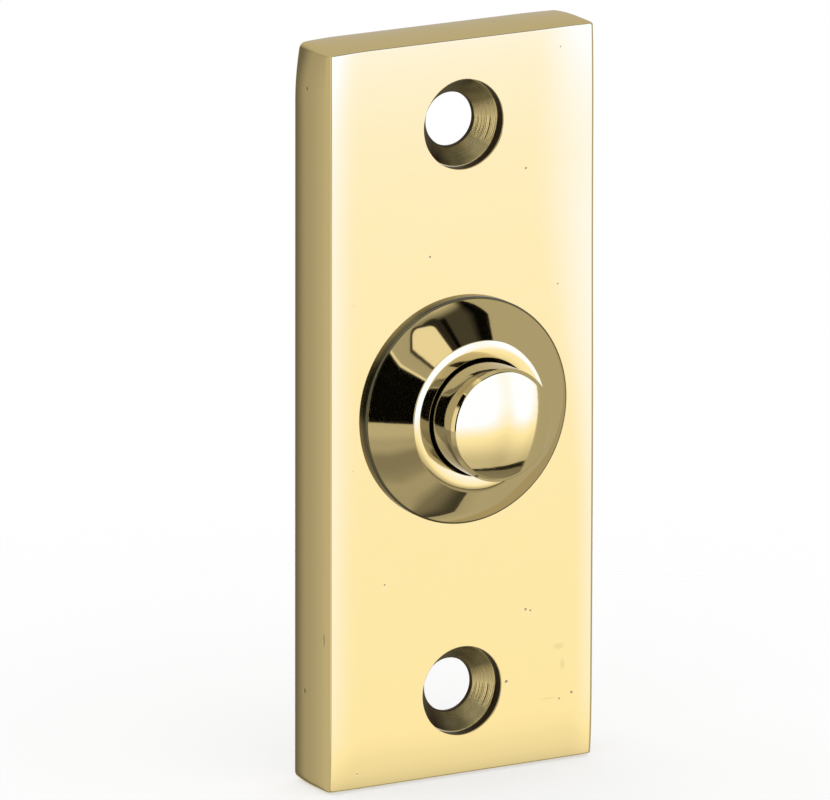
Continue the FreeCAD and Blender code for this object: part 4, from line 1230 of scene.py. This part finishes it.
def front_panel(level, bearing, height):
    """Dim at its foot and rising steeply to white, with a dimmer column to the right of its
    middle, whose share is exp(-off^2). The sill slopes and sags as a parabola, and a black line
    runs along under it, thicker to the right."""
    way = (bearing - SILL_MIDDLE) / SILL_REACH
    sill = PANEL_LOW - 0.4 + (bearing - 30) * SILL_SLOPE - (1 - way**2).max(0.0) * SILL_SAG
    above_sill = height - sill
    foot = height.ramp(PANEL_LOW, -17, FOOT_DIM, FOOT_BRIGHT)
    sides = foot + height.ramp(-20, -6.5) * SIDE_RISE
    column = foot * height.ramp(-16, -18.5, 1.0, 0.89) + height.ramp(-15.7, -11.5) * 0.55
    column = column + height.ramp(-13.5, 0) * 0.8
    off = (bearing - COLUMN_BEARING) / bearing.ramp(29, 33, COLUMN_LEFT, COLUMN_RIGHT)
    share = off.maths("EXPONENT", -(off * off)).max(bearing.ramp(43, 51) * COLUMN_MOST)
    mask = bearing.between(PANEL_LEFT, PANEL_RIGHT, 0.6)
    mask = mask * above_sill.ramp(-0.3, 0.3) * height.ramp(PANEL_HIGH + 0.8, PANEL_HIGH - 0.8)
    level = laid(level, mask, laid(sides, share, column))
    line = (above_sill + bearing.ramp(4, 50, LINE_THIN, LINE_THICK)).ramp(-0.3, 0.3)
    line = line * above_sill.ramp(0.2, -0.2) * bearing.between(2, PANEL_RIGHT - 1, 1.5)
    return laid(level, line, LINE_SHADE)


# %% The world's light
RED_LIMIT, BLUE_LIMIT = 1.05, 2.9
GREEN_BASE, GREEN_SHARE = 0.90, 0.155
SECOND_LIMIT, SECOND_BOUNCE = 0.95, (1.2, 1.8)


def studio_world():
    """A mirror sees the room, whose brightest parts are a cool white, and dimmer where it sees
    it in another mirror. The camera, and what is dull, see plain white."""
    world = bpy.data.worlds.new("studio")
    world.use_nodes = True
    tree = world.node_tree
    tree.nodes.clear()
    way = directions(tree)
    level = bare_room(*way)
    for cards in (top_cards, left_cards, low_cards, front_panel):
        level = cards(level, *way)
    channels = {0: level.min(RED_LIMIT), 1: level.min(level * GREEN_SHARE + GREEN_BASE),
                2: level.min(BLUE_LIMIT)}
    first = make_node(tree, "ShaderNodeCombineColor", None, channels)
    again = level.min(SECOND_LIMIT) * (1.0, 1.0, 1.0)
    path = {name: make_node(tree, "ShaderNodeLightPath", output=name)
            for name in ("Is Camera Ray", "Is Glossy Ray", "Is Transmission Ray", "Glossy Depth")}
    seen = blend_colours(path["Glossy Depth"].ramp(*SECOND_BOUNCE), first, again)
    plain = path["Is Camera Ray"].max(path["Is Transmission Ray"])
    light = blend_colours(path["Is Glossy Ray"] * (1 - plain), (1.0, 1.0, 1.0), seen)
    background = make_node(tree, "ShaderNodeBackground", None, {"Color": light, "Strength": 1.0})
    make_node(tree, "ShaderNodeOutputWorld", None, {"Surface": background})
    return world


bpy.context.scene.world = studio_world()
print("the room takes", len(bpy.context.scene.world.node_tree.nodes), "nodes")

# %% The floor
FLOOR_HEIGHT = float(plate_low[2])
FLOOR_REACH, FLOOR_RINGS, FLOOR_TURNS = 600.0, 12, 64
PAPER, CLEAR_NEAR, CLEAR_FAR = (0.985, 0.985, 0.985), 0.55, 1.0
FADE_START, FADE_END = 20.0, 160.0


def floor():
    """A round pale floor under the plate, which fades into the background's white: a level
    section turned about the push's axis, then laid flat by changing y for z."""
    radius = np.linspace(0, FLOOR_REACH, FLOOR_RINGS)
    rings = turned(np.stack([radius, radius * 0 - FLOOR_HEIGHT], axis=1), FLOOR_TURNS)
    thing = piece("studio_floor", [(rings[:, :, [0, 2, 1]], True)])
    thing.visible_glossy = False
    finish = Finish("pale_floor")
    far = (finish.x * finish.x + finish.y * finish.y) ** 0.5
    paper = finish.node("ShaderNodeBsdfDiffuse", None, {"Color": PAPER})
    clear = finish.node("ShaderNodeBsdfTransparent")
    share = far.ramp(FADE_START, FADE_END, CLEAR_NEAR, CLEAR_FAR)
    mixed = finish.node("ShaderNodeMixShader", None, {0: share, 1: paper, 2: clear})
    finish.node("ShaderNodeOutputMaterial", None, {"Surface": mixed})
    give(finish.material, thing)
    return thing


floor()

# %% The camera
CAMERA_BEARING, CAMERA_HEIGHT, CAMERA_ROLL = -30.066, 14.136, 0.141
CAMERA_DISTANCE, CAMERA_LENS, SENSOR = 1500.0, 595.86, 36.0
NEAREST, FURTHEST = 0.1, 20.0
TARGET = (-1.302, 0.0, -0.623)


def camera():
    """A long lens at the photograph's angle, aimed near the middle of the plate's back: moved
    back from the target along its own axis, after a roll, a tilt and a turn to its bearing."""
    bearing, height, roll = map(math.radians, (CAMERA_BEARING, CAMERA_HEIGHT, CAMERA_ROLL))
    turn = (Matrix.Rotation(bearing, 4, "Z") @ Matrix.Rotation(math.pi / 2 - height, 4, "X")
            @ Matrix.Rotation(roll, 4, "Z"))
    data = bpy.data.cameras.new("camera")
    data.sensor_width, data.lens = SENSOR, CAMERA_LENS
    data.clip_start, data.clip_end = NEAREST, FURTHEST
    thing = bpy.data.objects.new("camera", data)
    bpy.context.scene.collection.objects.link(thing)
    target = Matrix.Translation(Vector(TARGET) * MM)
    thing.matrix_world = target @ turn @ Matrix.Translation((0, 0, CAMERA_DISTANCE * MM))
    bpy.context.scene.camera = thing


camera()
bpy.context.scene.view_settings.view_transform = "Standard"
print(f"camera at bearing {CAMERA_BEARING}, height {CAMERA_HEIGHT} degrees")
